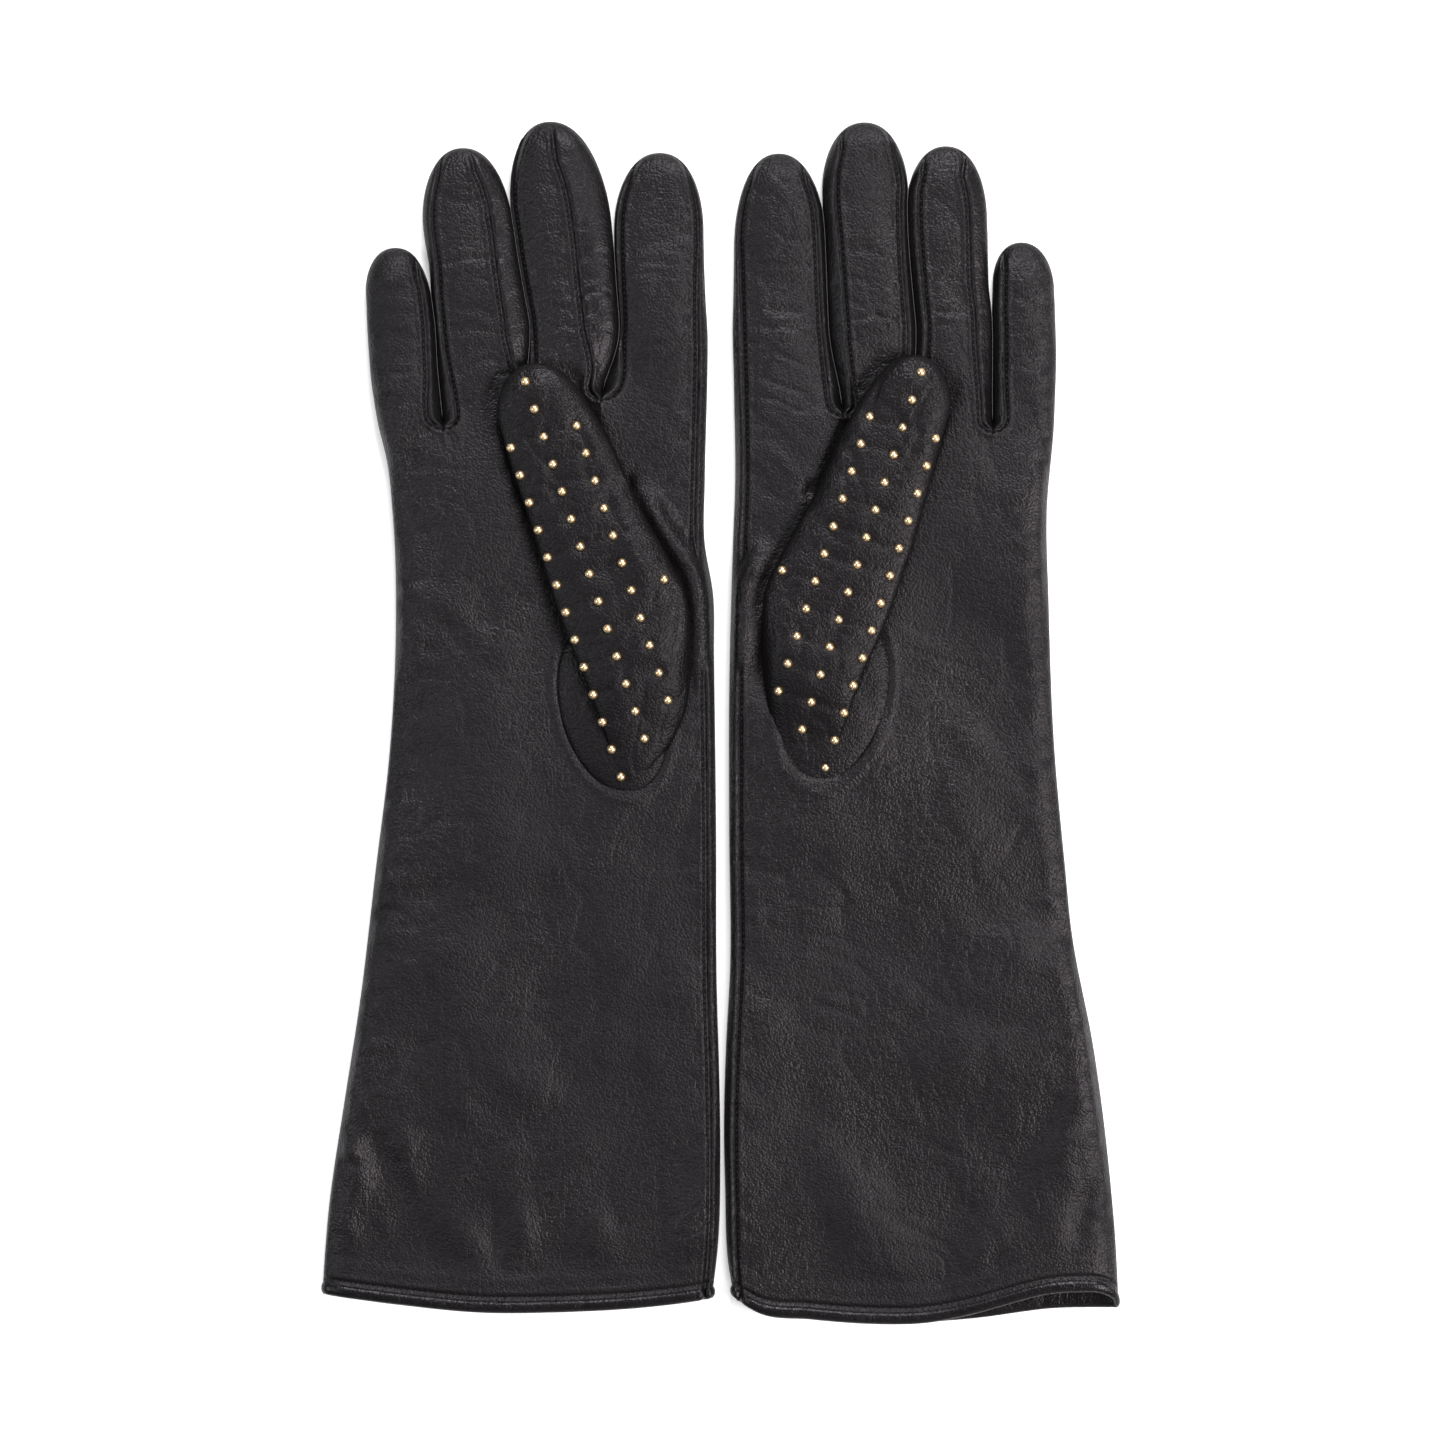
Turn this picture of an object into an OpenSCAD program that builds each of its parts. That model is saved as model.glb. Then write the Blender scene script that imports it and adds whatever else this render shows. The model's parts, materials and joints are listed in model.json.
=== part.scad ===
// A pair of long leather gloves, laid flat with the palms up and each thumb folded over its palm.
// +Y runs to the fingertips and +Z out of the palms. The right-hand glove lies on the -X side.
// Each glove is drawn in its own plan, [distance from the middle line of the pair, Y], and the
// right-hand one is mirrored.

/* [Leather] */
// Thickness of the glove leather
leather_t = 0.8; // [0.6:0.1:1]
// Thickness of the lining cloth
lining_t = 0.3; // [0.2:0.1:0.4]
// Height of a glove laid flat
lie_h = 8; // [7:0.5:10]
// Clearance where one piece folds against the next
fold_gap = 0.4; // [0.3:0.1:0.6]
// Width of the back leather that laps round the index side
lap_w = 3; // [2:0.5:4]

/* [Sleeve] */
// Place of the wrist fold along Y
wrist_y = -40; // [-50:1:-30]
// Distance from the middle line to the little-finger side at the hem
hem_out = 114; // [108:1:118]
// Distance from the middle line to the index side at the hem
hem_in = 2.2; // [1:0.1:5]
// Lowest point of the hem along Y
hem_y = -171.5; // [-180:0.5:-150]
// Radius of the hem's curve in plan
hem_r = 316; // [250:1:500]
// Width of the binding round the hem
binding_w = 3; // [2:0.5:5]
// Distance of the hem stitching from the binding
stitch_off = 1.6; // [1:0.1:3]
// Length of one stitch
stitch_l = 1.9; // [1.5:0.1:2.4]
// Distance from one stitch to the next
stitch_pitch = 3; // [2.8:0.1:4]

/* [Fingers] */
// Radius of a fingertip in plan
tip_r = 9; // [8:0.5:10]
// Length over which a finger narrows to its tip
taper_l = 25; // [20:1:30]
// Radius of a little fingertip in plan
little_tip_r = 6.5; // [5:0.5:8]
// Length over which a little finger narrows to its tip
little_taper_l = 14; // [10:1:20]

/* [Thumb] */
// Lean of the thumb away from the index side, in degrees
thumb_lean = 20.6; // [18:0.1:22]
// Length of the thumb from its fold to its tip
thumb_l = 100.6; // [98:0.1:103]
// Height of the folded thumb
thumb_h = 8; // [7:0.5:10]
// Radius of the thumb tip in plan
thumb_tip_r = 13; // [11:0.5:14]
// Shift of the thumb tip away from the index side
thumb_tip_shift = 1.5; // [0:0.1:2]
// Radius of the ball of the thumb in plan, where it is widest
thumb_ball_r = 17.8; // [16:0.1:19]
// Distance of the ball of the thumb above the fold
ball_y = 25; // [22:0.5:28]
// Radius of the round end of the thumb's root
root_r = 14.5; // [13.5:0.5:15]
// Radius of the mouth that joins the thumb to the palm
mouth_r = 9; // [7:0.5:10]
// Length of that mouth above the fold
mouth_l = 38; // [30:1:45]

/* [Studs] */
// Diameter of a stud's round head
stud_d = 2.4; // [2:0.1:3]
// Height of a stud's head
stud_h = 1.2; // [0.8:0.1:1.5]
// Diameter of a stud's post
post_d = 0.8; // [0.5:0.1:1]
// Diameter of the washer behind a stud
washer_d = 1.6; // [1.4:0.1:2]
// Distance between studs along the thumb
stud_pitch = 8.2; // [8:0.05:8.3]
// Distance between columns of studs
column_pitch = 9.8; // [9:0.1:10]
// Lean of the columns of studs, in degrees
stud_lean = 18.4; // [18:0.1:19]
// Distance of the top stud below the tip of the thumb
top_stud = 5.6; // [5:0.1:6]
// Distance of the top stud from the tip of the thumb, away from the index side
stud_shift = 1; // [0:0.1:1.5]

/* [Hidden] */
eps = 0.05;
arc_steps = 14;
// Clearance between the lining and the leather over it, and beside it
lining_clear = 0.1;
side_clear = 0.4;
// Clearance between the folded thumb and the palm
thumb_clear = 0.3;
// Thickness of the washer behind a stud
washer_t = 0.3;
// How far past its ends a shape that cuts another is run
run = 20;
SIDES = ["right", "left"];
FINGERS = ["index", "middle", "ring", "little"];
// Each finger of each glove: [its fold, its tip, its width]; folds and tips are [plan X, Y]
RIGHT_FINGERS = [
  [[16.2, 110], [17.2, 161.5], 24.6],
  [[41.1, 114], [47.9, 171.3], 24.4],
  [[66.8, 113], [73.3, 163.5], 24],
  [[90.6, 101], [93, 134.5], 17.6]
];
LEFT_FINGERS = [
  [[17, 110], [16.8, 162], 26.4],
  [[43.4, 114], [41.3, 171], 23.8],
  [[66.8, 113], [64.5, 164], 21],
  [[87.6, 101], [86, 136.5], 17.4]
];
// The foot of the gap between each finger and the next
CROTCHES = [[30, 90], [54.8, 90], [80.3, 84]];
// Tip of the folded thumb of each glove
THUMB_TIPS = [[54.2, 102.2], [55.9, 104.8]];
// Centre of the round end of the thumb's root, in the thumb's frame
ROOT_CENTRE = [10.5, -7.5];
// Ends of the thumb's fold line, from the index side
FOLD_ENDS = [-10.7, 18.5];
// Edges of the palm from the fingers down to the wrist
PALM_OUT = [[97.5, 86], [93.5, 60], [93.3, 30], [95, -8], [98.4, wrist_y]];
PALM_IN = [[1.6, wrist_y], [2, -16], [2.5, 35], [4, 88]];
// Edges of the sleeve between the wrist fold and the hem
SLEEVE_OUT = [[98.3, wrist_y - fold_gap], [106, -93.5], [hem_out, hem_y - 5]];
SLEEVE_IN = [[hem_in, hem_y - 5], [1, -119], [PALM_IN[0][0], wrist_y - fold_gap]];
// Height up the palm that the lining reaches
lining_top = 80;
// Studs in each column, from the little-finger side, and the row that each column starts at
COLUMNS = [[-1, 13, 2], [0, 14, 0], [1, 11, 2], [2, 1, 8]];

SUBPARTS = ["palm_panel", "back_panel", "index_middle_fourchette", "middle_ring_fourchette",
  "ring_little_fourchette", "hand_lining", "thumb_root", "root_studs", "sleeve_front",
  "sleeve_back", "sleeve_lining", "hem_binding", "hem_stitches", "thumb_outer", "thumb_inner",
  "thumb_studs", "stud_backs"];
FINGER_PARTS = ["front", "back", "fourchette"];

top_z = lie_h - leather_t;
thumb_z = lie_h + thumb_clear;
thumb_top = thumb_z + thumb_h;
hem_centre = [(hem_in + hem_out) / 2, hem_y + hem_r];

function fingers(s) = s == 0 ? RIGHT_FINGERS : LEFT_FINGERS;
function lean(f) = atan2(f[1][0] - f[0][0], f[1][1] - f[0][1]);
function finger_l(f) = norm(f[1] - f[0]);
function across(f) = (f[2] / 2) * [cos(lean(f)), -sin(lean(f))];
function near_corner(f) = f[0] - across(f);
function far_corner(f) = f[0] + across(f);
function thumb_dir() = [sin(thumb_lean), cos(thumb_lean)];
function thumb_fold(s) = THUMB_TIPS[s] - thumb_l * thumb_dir();
function arc(c, r, a0, a1) =
  [for (i = [0 : arc_steps]) let (a = a0 + (a1 - a0) * i / arc_steps) c + r * [cos(a), sin(a)]];
// Outline round two circles on the Y axis
function egg(y1, r1, y2, r2) =
  let (a = asin((r1 - r2) / (y2 - y1)))
  concat(arc([0, y2], r2, a, 180 - a), arc([0, y1], r1, 180 - a, 360 + a));

// ---- Plans ----

// The hand from the wrist to the finger folds
module hand_plan(s) {
  f = fingers(s);
  tops = [for (i = [0 : 3]) for (p = i < 3
    ? [near_corner(f[i]), far_corner(f[i]), CROTCHES[i]]
    : [near_corner(f[i]), far_corner(f[i])]) p];
  polygon(concat(PALM_IN, tops, PALM_OUT));
}

// The lap along the index side, up to the index finger's fold
module palm_lap(s) {
  edge = concat(PALM_IN, [near_corner(fingers(s)[0])]);
  inner = [for (i = [len(edge) - 1 : -1 : 0]) edge[i] + [lap_w, 0]];
  polygon(concat(edge, inner));
}

// A strip along an open chain of points, to one side of it
module strip(chain, w) {
  back = [for (i = [len(chain) - 1 : -1 : 0]) chain[i] + [w, 0]];
  polygon(concat(chain, back));
}

// The sleeve from the hem to the wrist fold, set in by d at its sides and by hem_d at its hem
module sleeve_plan(d = 0, hem_d = 0) intersection() {
  polygon(concat([for (p = SLEEVE_IN) p + [d, 0]], [for (p = SLEEVE_OUT) p - [d, 0]]));
  translate(hem_centre) circle(r = hem_r - hem_d, $fn = 240);
}

// A finger past its fold, in its own frame, set in by d
module finger_plan(f, i, d = 0, start = fold_gap) {
  r = (i == 3 ? little_tip_r : tip_r) - d;
  taper = i == 3 ? little_taper_l : taper_l;
  l = finger_l(f);
  h = f[2] / 2 - d;
  tip = [0, l - d - r];
  polygon(concat([[h, start], [h, l - taper]], arc(tip, r, 12, 168), [[-h, l - taper], [-h, start]]));
}

// The thumb past its fold, in its own frame, set in by d
module thumb_plan(d = 0, start = fold_gap / 2) {
  top = [thumb_tip_shift, thumb_l - thumb_tip_r];
  ball = [0, ball_y];
  r = thumb_ball_r - d;
  a = asin((thumb_ball_r - thumb_tip_r) / (top[1] - ball_y));
  polygon(concat([[FOLD_ENDS[1] - d, start]], arc(ball, r, -12, a),
    arc(top, thumb_tip_r - d, a, 180 - a), arc(ball, r, 180 - a, 192), [[FOLD_ENDS[0] + d, start]]));
}

// The thumb's root below its fold, in the thumb's frame, set in by d
module root_plan(d = 0, start = -fold_gap / 2) {
  polygon(concat([[FOLD_ENDS[1] - d, start], [FOLD_ENDS[0] + d, start]],
    arc(ROOT_CENTRE, root_r - d, 192, 348)));
}

// The mouth between the palm and the thumb, in the thumb's frame, set in by d
module mouth_plan(d = 0, low = -8) {
  polygon(egg(low, mouth_r - 1 - d, mouth_l - mouth_r, mouth_r - d));
}

// ---- Placing ----

module slab(z, h) translate([0, 0, z]) linear_extrude(h) children();

module at_finger(f) translate([f[0][0], f[0][1], 0]) rotate([0, 0, -lean(f)]) children();

module at_thumb(s) translate([thumb_fold(s)[0], thumb_fold(s)[1], 0]) rotate([0, 0, -thumb_lean])
  children();

// ---- Hand ----

module palm_panel(s) color([0.2, 0.19, 0.2]) slab(top_z, leather_t) difference() {
  hand_plan(s);
  palm_lap(s);
  at_thumb(s) mouth_plan();
}

module back_panel(s) color([0.16, 0.16, 0.17]) {
  slab(0, leather_t) hand_plan(s);
  slab(top_z, leather_t) palm_lap(s);
  slab(leather_t, top_z - leather_t) {
    strip(concat(PALM_IN, [near_corner(fingers(s)[0])]), leather_t);
    strip(concat([far_corner(fingers(s)[3])], PALM_OUT), -leather_t);
  }
}

// The side strip that lines one gap between two fingers, down to its foot
module fourchette(s, i) color([0.13, 0.13, 0.14]) slab(leather_t, top_z - leather_t) {
  a = far_corner(fingers(s)[i]);
  b = near_corner(fingers(s)[i + 1]);
  c = CROTCHES[i];
  t = leather_t;
  polygon([a - [t, 0], a, c, b, b + [t, 0], c + [t, -t], c - [t, t]]);
}

module hand_lining(s) color([0.3, 0.29, 0.3]) difference() {
  low = leather_t + lining_clear;
  high = top_z - lining_clear;
  d = leather_t + side_clear;
  slab(low, high - low) lining_plan(d);
  slab(low + lining_t, high - low - 2 * lining_t) lining_plan(d + lining_t, run);
  at_thumb(s) slab(high - lining_t - eps, leather_t) mouth_plan(-side_clear);
}

// Plan of the lining inside the palm, set in by d and run past its open ends by past
module lining_plan(d, past = 0) {
  out = [for (p = PALM_OUT) p - [d + side_clear, 0]];
  in = [for (p = PALM_IN) p + [d, 0]];
  top = lining_top + past;
  polygon(concat([in[0] - [0, past], in[0], in[1], in[2]], [[in[3][0], top], [out[0][0], top]],
    [out[1], out[2], out[3], out[4], out[4] - [0, past]]));
}

module thumb_root(s) color([0.2, 0.19, 0.2]) at_thumb(s) {
  slab(thumb_top - leather_t, leather_t) root_plan();
  slab(lie_h, thumb_top - leather_t - lie_h) difference() {
    root_plan();
    root_plan(leather_t, run);
  }
}

// ---- Sleeve ----

module sleeve_front() color([0.2, 0.19, 0.2]) slab(top_z, leather_t) difference() {
  sleeve_plan(0, binding_w);
  strip(SLEEVE_IN, lap_w);
}

module sleeve_back() color([0.16, 0.16, 0.17]) {
  slab(0, leather_t) sleeve_plan(0, binding_w);
  slab(top_z, leather_t) intersection() {
    sleeve_plan(0, binding_w);
    strip(SLEEVE_IN, lap_w);
  }
  sleeve_walls(binding_w) sleeve_plan(0, binding_w);
}

// The two side walls of a stretch of sleeve, between the front and back leather
module sleeve_walls(hem_d) slab(leather_t, top_z - leather_t) difference() {
  children();
  sleeve_core();
}

// Plan of the space inside the sleeve, run past both its ends
module sleeve_core() {
  d = leather_t;
  past = [0, run];
  in = [for (p = SLEEVE_IN) p + [d, 0]];
  out = [for (p = SLEEVE_OUT) p - [d, 0]];
  polygon(concat([in[0] - past], in, [in[2] + past, out[0] + past], out, [out[2] - past]));
}

module hem_binding() color([0.1, 0.1, 0.11]) {
  for (z = [0, top_z])
    slab(z, leather_t) hem_band();
  sleeve_walls(0) hem_band();
}

module hem_band() difference() {
  sleeve_plan();
  sleeve_plan(-lap_w, binding_w);
}

module sleeve_lining() color([0.3, 0.29, 0.3]) {
  low = leather_t + lining_clear;
  high = top_z - lining_clear;
  d = leather_t + side_clear;
  difference() {
    slab(low, high - low) sleeve_plan(d, 2 * binding_w);
    slab(low + lining_t, high - low - 2 * lining_t) {
      sleeve_plan(d + lining_t);
      wrist_mouth();
    }
  }
}

// Opening of the sleeve lining towards the hand
module wrist_mouth() {
  side = 5;
  translate([PALM_IN[0][0] + side, wrist_y - run])
    square([PALM_OUT[4][0] - PALM_IN[0][0] - 2 * side, 2 * run]);
}

module hem_stitches() color([0.3, 0.3, 0.3]) {
  r = hem_r - binding_w - stitch_off;
  n = floor(((hem_out - hem_in) / 2 - lap_w) / stitch_pitch) - 1;
  step = stitch_pitch / r * 180 / PI;
  for (i = [-n : n])
    translate([hem_centre[0], hem_centre[1], lie_h]) rotate([0, 0, i * step])
      translate([-stitch_l / 2, -r, 0]) cube([stitch_l, 0.4, 0.2]);
}

// ---- Thumb ----

module thumb_outer(s) color([0.2, 0.19, 0.2]) at_thumb(s) {
  slab(thumb_top - leather_t, leather_t) thumb_plan();
  slab(thumb_z + leather_t, thumb_h - 2 * leather_t) difference() {
    thumb_plan();
    thumb_plan(leather_t, -run);
  }
}

module thumb_inner(s) color([0.16, 0.16, 0.17]) at_thumb(s) slab(thumb_z, leather_t) difference() {
  thumb_plan();
  mouth_plan(0, 10);
}

// Places of the studs in the glove's plan
function stud_spots(s) =
  let (down = -[sin(stud_lean), cos(stud_lean)], out = [-cos(stud_lean), sin(stud_lean)])
  [for (c = COLUMNS) for (i = [0 : c[1] - 1])
    THUMB_TIPS[s] + [stud_shift, -top_stud]
      + c[0] * column_pitch * out + (i + c[2]) * stud_pitch * down];
// Distance of a place above the thumb's fold
function above_fold(s, p) = (p - thumb_fold(s)) * thumb_dir();
function thumb_spots(s) = [for (p = stud_spots(s)) if (above_fold(s, p) > 0) p];
function root_spots(s) = [for (p = stud_spots(s)) if (above_fold(s, p) <= 0) p];

// One stud: its domed head with its post through the leather
module stud() {
  cylinder(d = stud_d, h = stud_h / 2, $fn = 24);
  translate([0, 0, stud_h / 2]) cylinder(d1 = stud_d, d2 = stud_d / 2, h = stud_h / 2, $fn = 24);
  translate([0, 0, -leather_t - washer_t]) cylinder(d = post_d, h = leather_t + washer_t, $fn = 24);
}

module thumb_studs(s) color([0.85, 0.68, 0.35]) for (p = thumb_spots(s))
  translate([p[0], p[1], thumb_top]) stud();

module root_studs(s) color([0.85, 0.68, 0.35]) for (p = root_spots(s))
  translate([p[0], p[1], thumb_top]) stud();

// The small washers that the studs are closed against under the leather
module stud_backs(s) color([0.7, 0.6, 0.4]) for (p = thumb_spots(s))
  translate([p[0], p[1], thumb_top - leather_t - washer_t]) difference() {
    cylinder(d = washer_d, h = washer_t, $fn = 24);
    translate([0, 0, -eps]) cylinder(d = post_d, h = washer_t + 2 * eps, $fn = 24);
  }

// ---- Fingers ----

module finger_front(f, i) color([0.2, 0.19, 0.2]) at_finger(f) slab(top_z, leather_t)
  difference() {
    finger_plan(f, i);
    if (i == 0) side_lap(f);
  }

module side_lap(f) {
  h = f[2] / 2;
  translate([-h - 1, 0]) square([1 + lap_w, finger_l(f) - taper_l]);
}

module finger_back(f, i) color([0.16, 0.16, 0.17]) at_finger(f) {
  slab(0, leather_t) finger_plan(f, i);
  if (i == 0) {
    slab(top_z, leather_t) intersection() {
      finger_plan(f, i);
      side_lap(f);
    }
    slab(leather_t, top_z - leather_t) half_ring(f, i, -1);
  }
  if (i == 3) slab(leather_t, top_z - leather_t) half_ring(f, i, 1);
}

// Half of the wall round a finger: side -1 is its index side and side 1 its little-finger side
module half_ring(f, i, side) {
  w = f[2];
  intersection() {
    finger_ring(f, i);
    translate([side > 0 ? 0 : -w, -1]) square([w, finger_l(f) + 2]);
  }
}

module finger_ring(f, i) difference() {
  finger_plan(f, i);
  finger_plan(f, i, leather_t, -run);
}

module finger_fourchette(f, i) color([0.13, 0.13, 0.14]) at_finger(f)
  slab(leather_t, top_z - leather_t)
    if (i == 0) half_ring(f, i, 1);
    else if (i == 3) half_ring(f, i, -1);
    else finger_ring(f, i);

// ---- Assembly ----

module subpart(s, part) {
  if (part == "palm_panel") palm_panel(s);
  if (part == "back_panel") back_panel(s);
  if (part == "index_middle_fourchette") fourchette(s, 0);
  if (part == "middle_ring_fourchette") fourchette(s, 1);
  if (part == "ring_little_fourchette") fourchette(s, 2);
  if (part == "hand_lining") hand_lining(s);
  if (part == "thumb_root") thumb_root(s);
  if (part == "root_studs") root_studs(s);
  if (part == "sleeve_front") sleeve_front();
  if (part == "sleeve_back") sleeve_back();
  if (part == "sleeve_lining") sleeve_lining();
  if (part == "hem_binding") hem_binding();
  if (part == "hem_stitches") hem_stitches();
  if (part == "thumb_outer") thumb_outer(s);
  if (part == "thumb_inner") thumb_inner(s);
  if (part == "thumb_studs") thumb_studs(s);
  if (part == "stud_backs") stud_backs(s);
}

module finger_part(s, i, part) {
  f = fingers(s)[i];
  if (part == "front") finger_front(f, i);
  if (part == "back") finger_back(f, i);
  if (part == "fourchette") finger_fourchette(f, i);
}

module on_side(s) mirror([s == 0 ? 1 : 0, 0, 0]) children();

for (s = [0, 1]) {
  for (part = SUBPARTS)
    on_side(s) subpart(s, part);
  for (i = [0 : 3]) for (part = FINGER_PARTS)
    on_side(s) finger_part(s, i, part);
}
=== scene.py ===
import json
import math

import bpy
import numpy as np
from mathutils import Matrix, Vector, kdtree
from mathutils.bvhtree import BVHTree

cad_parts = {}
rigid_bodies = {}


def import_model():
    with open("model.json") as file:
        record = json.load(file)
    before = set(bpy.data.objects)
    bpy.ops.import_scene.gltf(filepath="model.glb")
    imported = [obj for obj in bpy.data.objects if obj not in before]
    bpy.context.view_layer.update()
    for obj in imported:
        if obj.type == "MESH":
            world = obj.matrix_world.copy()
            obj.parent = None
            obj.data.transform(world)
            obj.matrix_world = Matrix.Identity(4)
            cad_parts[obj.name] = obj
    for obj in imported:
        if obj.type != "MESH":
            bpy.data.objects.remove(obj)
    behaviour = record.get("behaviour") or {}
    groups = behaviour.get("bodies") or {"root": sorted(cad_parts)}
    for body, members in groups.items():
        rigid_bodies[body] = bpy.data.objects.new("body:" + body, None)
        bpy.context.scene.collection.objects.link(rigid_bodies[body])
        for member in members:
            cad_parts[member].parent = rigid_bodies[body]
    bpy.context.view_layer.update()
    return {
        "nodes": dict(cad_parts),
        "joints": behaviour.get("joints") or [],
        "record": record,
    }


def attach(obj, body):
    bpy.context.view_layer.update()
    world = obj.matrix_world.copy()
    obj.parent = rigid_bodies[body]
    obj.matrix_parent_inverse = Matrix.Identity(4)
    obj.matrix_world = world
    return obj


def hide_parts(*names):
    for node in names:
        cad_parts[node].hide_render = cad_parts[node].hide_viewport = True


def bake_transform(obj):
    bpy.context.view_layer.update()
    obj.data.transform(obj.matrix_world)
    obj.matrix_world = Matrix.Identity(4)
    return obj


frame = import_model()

mm = 0.001
cadNodes = frame["nodes"]
jointOf = {joint["name"]: joint for joint in frame["joints"]}
slotOf = {row["node"]: row["material_slot"] for row in frame["record"]["subparts"]}
fingerNames = ["index", "middle", "ring", "little"]
for cadObject in bpy.data.objects:
    cadObject.select_set(False)
print("frame loaded:", len(cadNodes), "nodes")


def socket(group, name, way, kind="NodeSocketFloat", value=None):
    made = group.interface.new_socket(name=name, in_out=way, socket_type=kind)
    if value is not None:
        made.default_value = value


def addNode(tree, kind, place, **settings):
    node = tree.nodes.new(kind)
    node.location = place
    for key, value in settings.items():
        setattr(node, key, value)
    return node


def mathNode(tree, operation, place, first, second=None):
    node = addNode(tree, "ShaderNodeMath", place, operation=operation)
    for i, value in enumerate((first, second)):
        if value is None:
            continue
        if isinstance(value, (int, float)):
            node.inputs[i].default_value = value
        else:
            tree.links.new(value, node.inputs[i])
    return node.outputs[0]


def newMaterial(name):
    material = bpy.data.materials.new(name)
    material.use_nodes = True
    return material, material.node_tree, material.node_tree.nodes["Principled BSDF"]


def toneFrom(tree, place, mask, first, second):
    tone = addNode(tree, "ShaderNodeMixRGB", place)
    tone.inputs["Color1"].default_value = (*first, 1)
    tone.inputs["Color2"].default_value = (*second, 1)
    tree.links.new(mask, tone.inputs["Fac"])
    return tone.outputs[0]


def rangeFrom(tree, place, mask, low, high):
    span = addNode(tree, "ShaderNodeMapRange", place)
    span.inputs["To Min"].default_value = low
    span.inputs["To Max"].default_value = high
    tree.links.new(mask, span.inputs["Value"])
    return span.outputs[0]


def bumpFrom(tree, place, height, depth):
    bump = addNode(tree, "ShaderNodeBump", place)
    bump.inputs["Strength"].default_value = 1.0
    bump.inputs["Distance"].default_value = depth * mm
    tree.links.new(height, bump.inputs["Height"])
    return bump.outputs[0]


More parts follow.
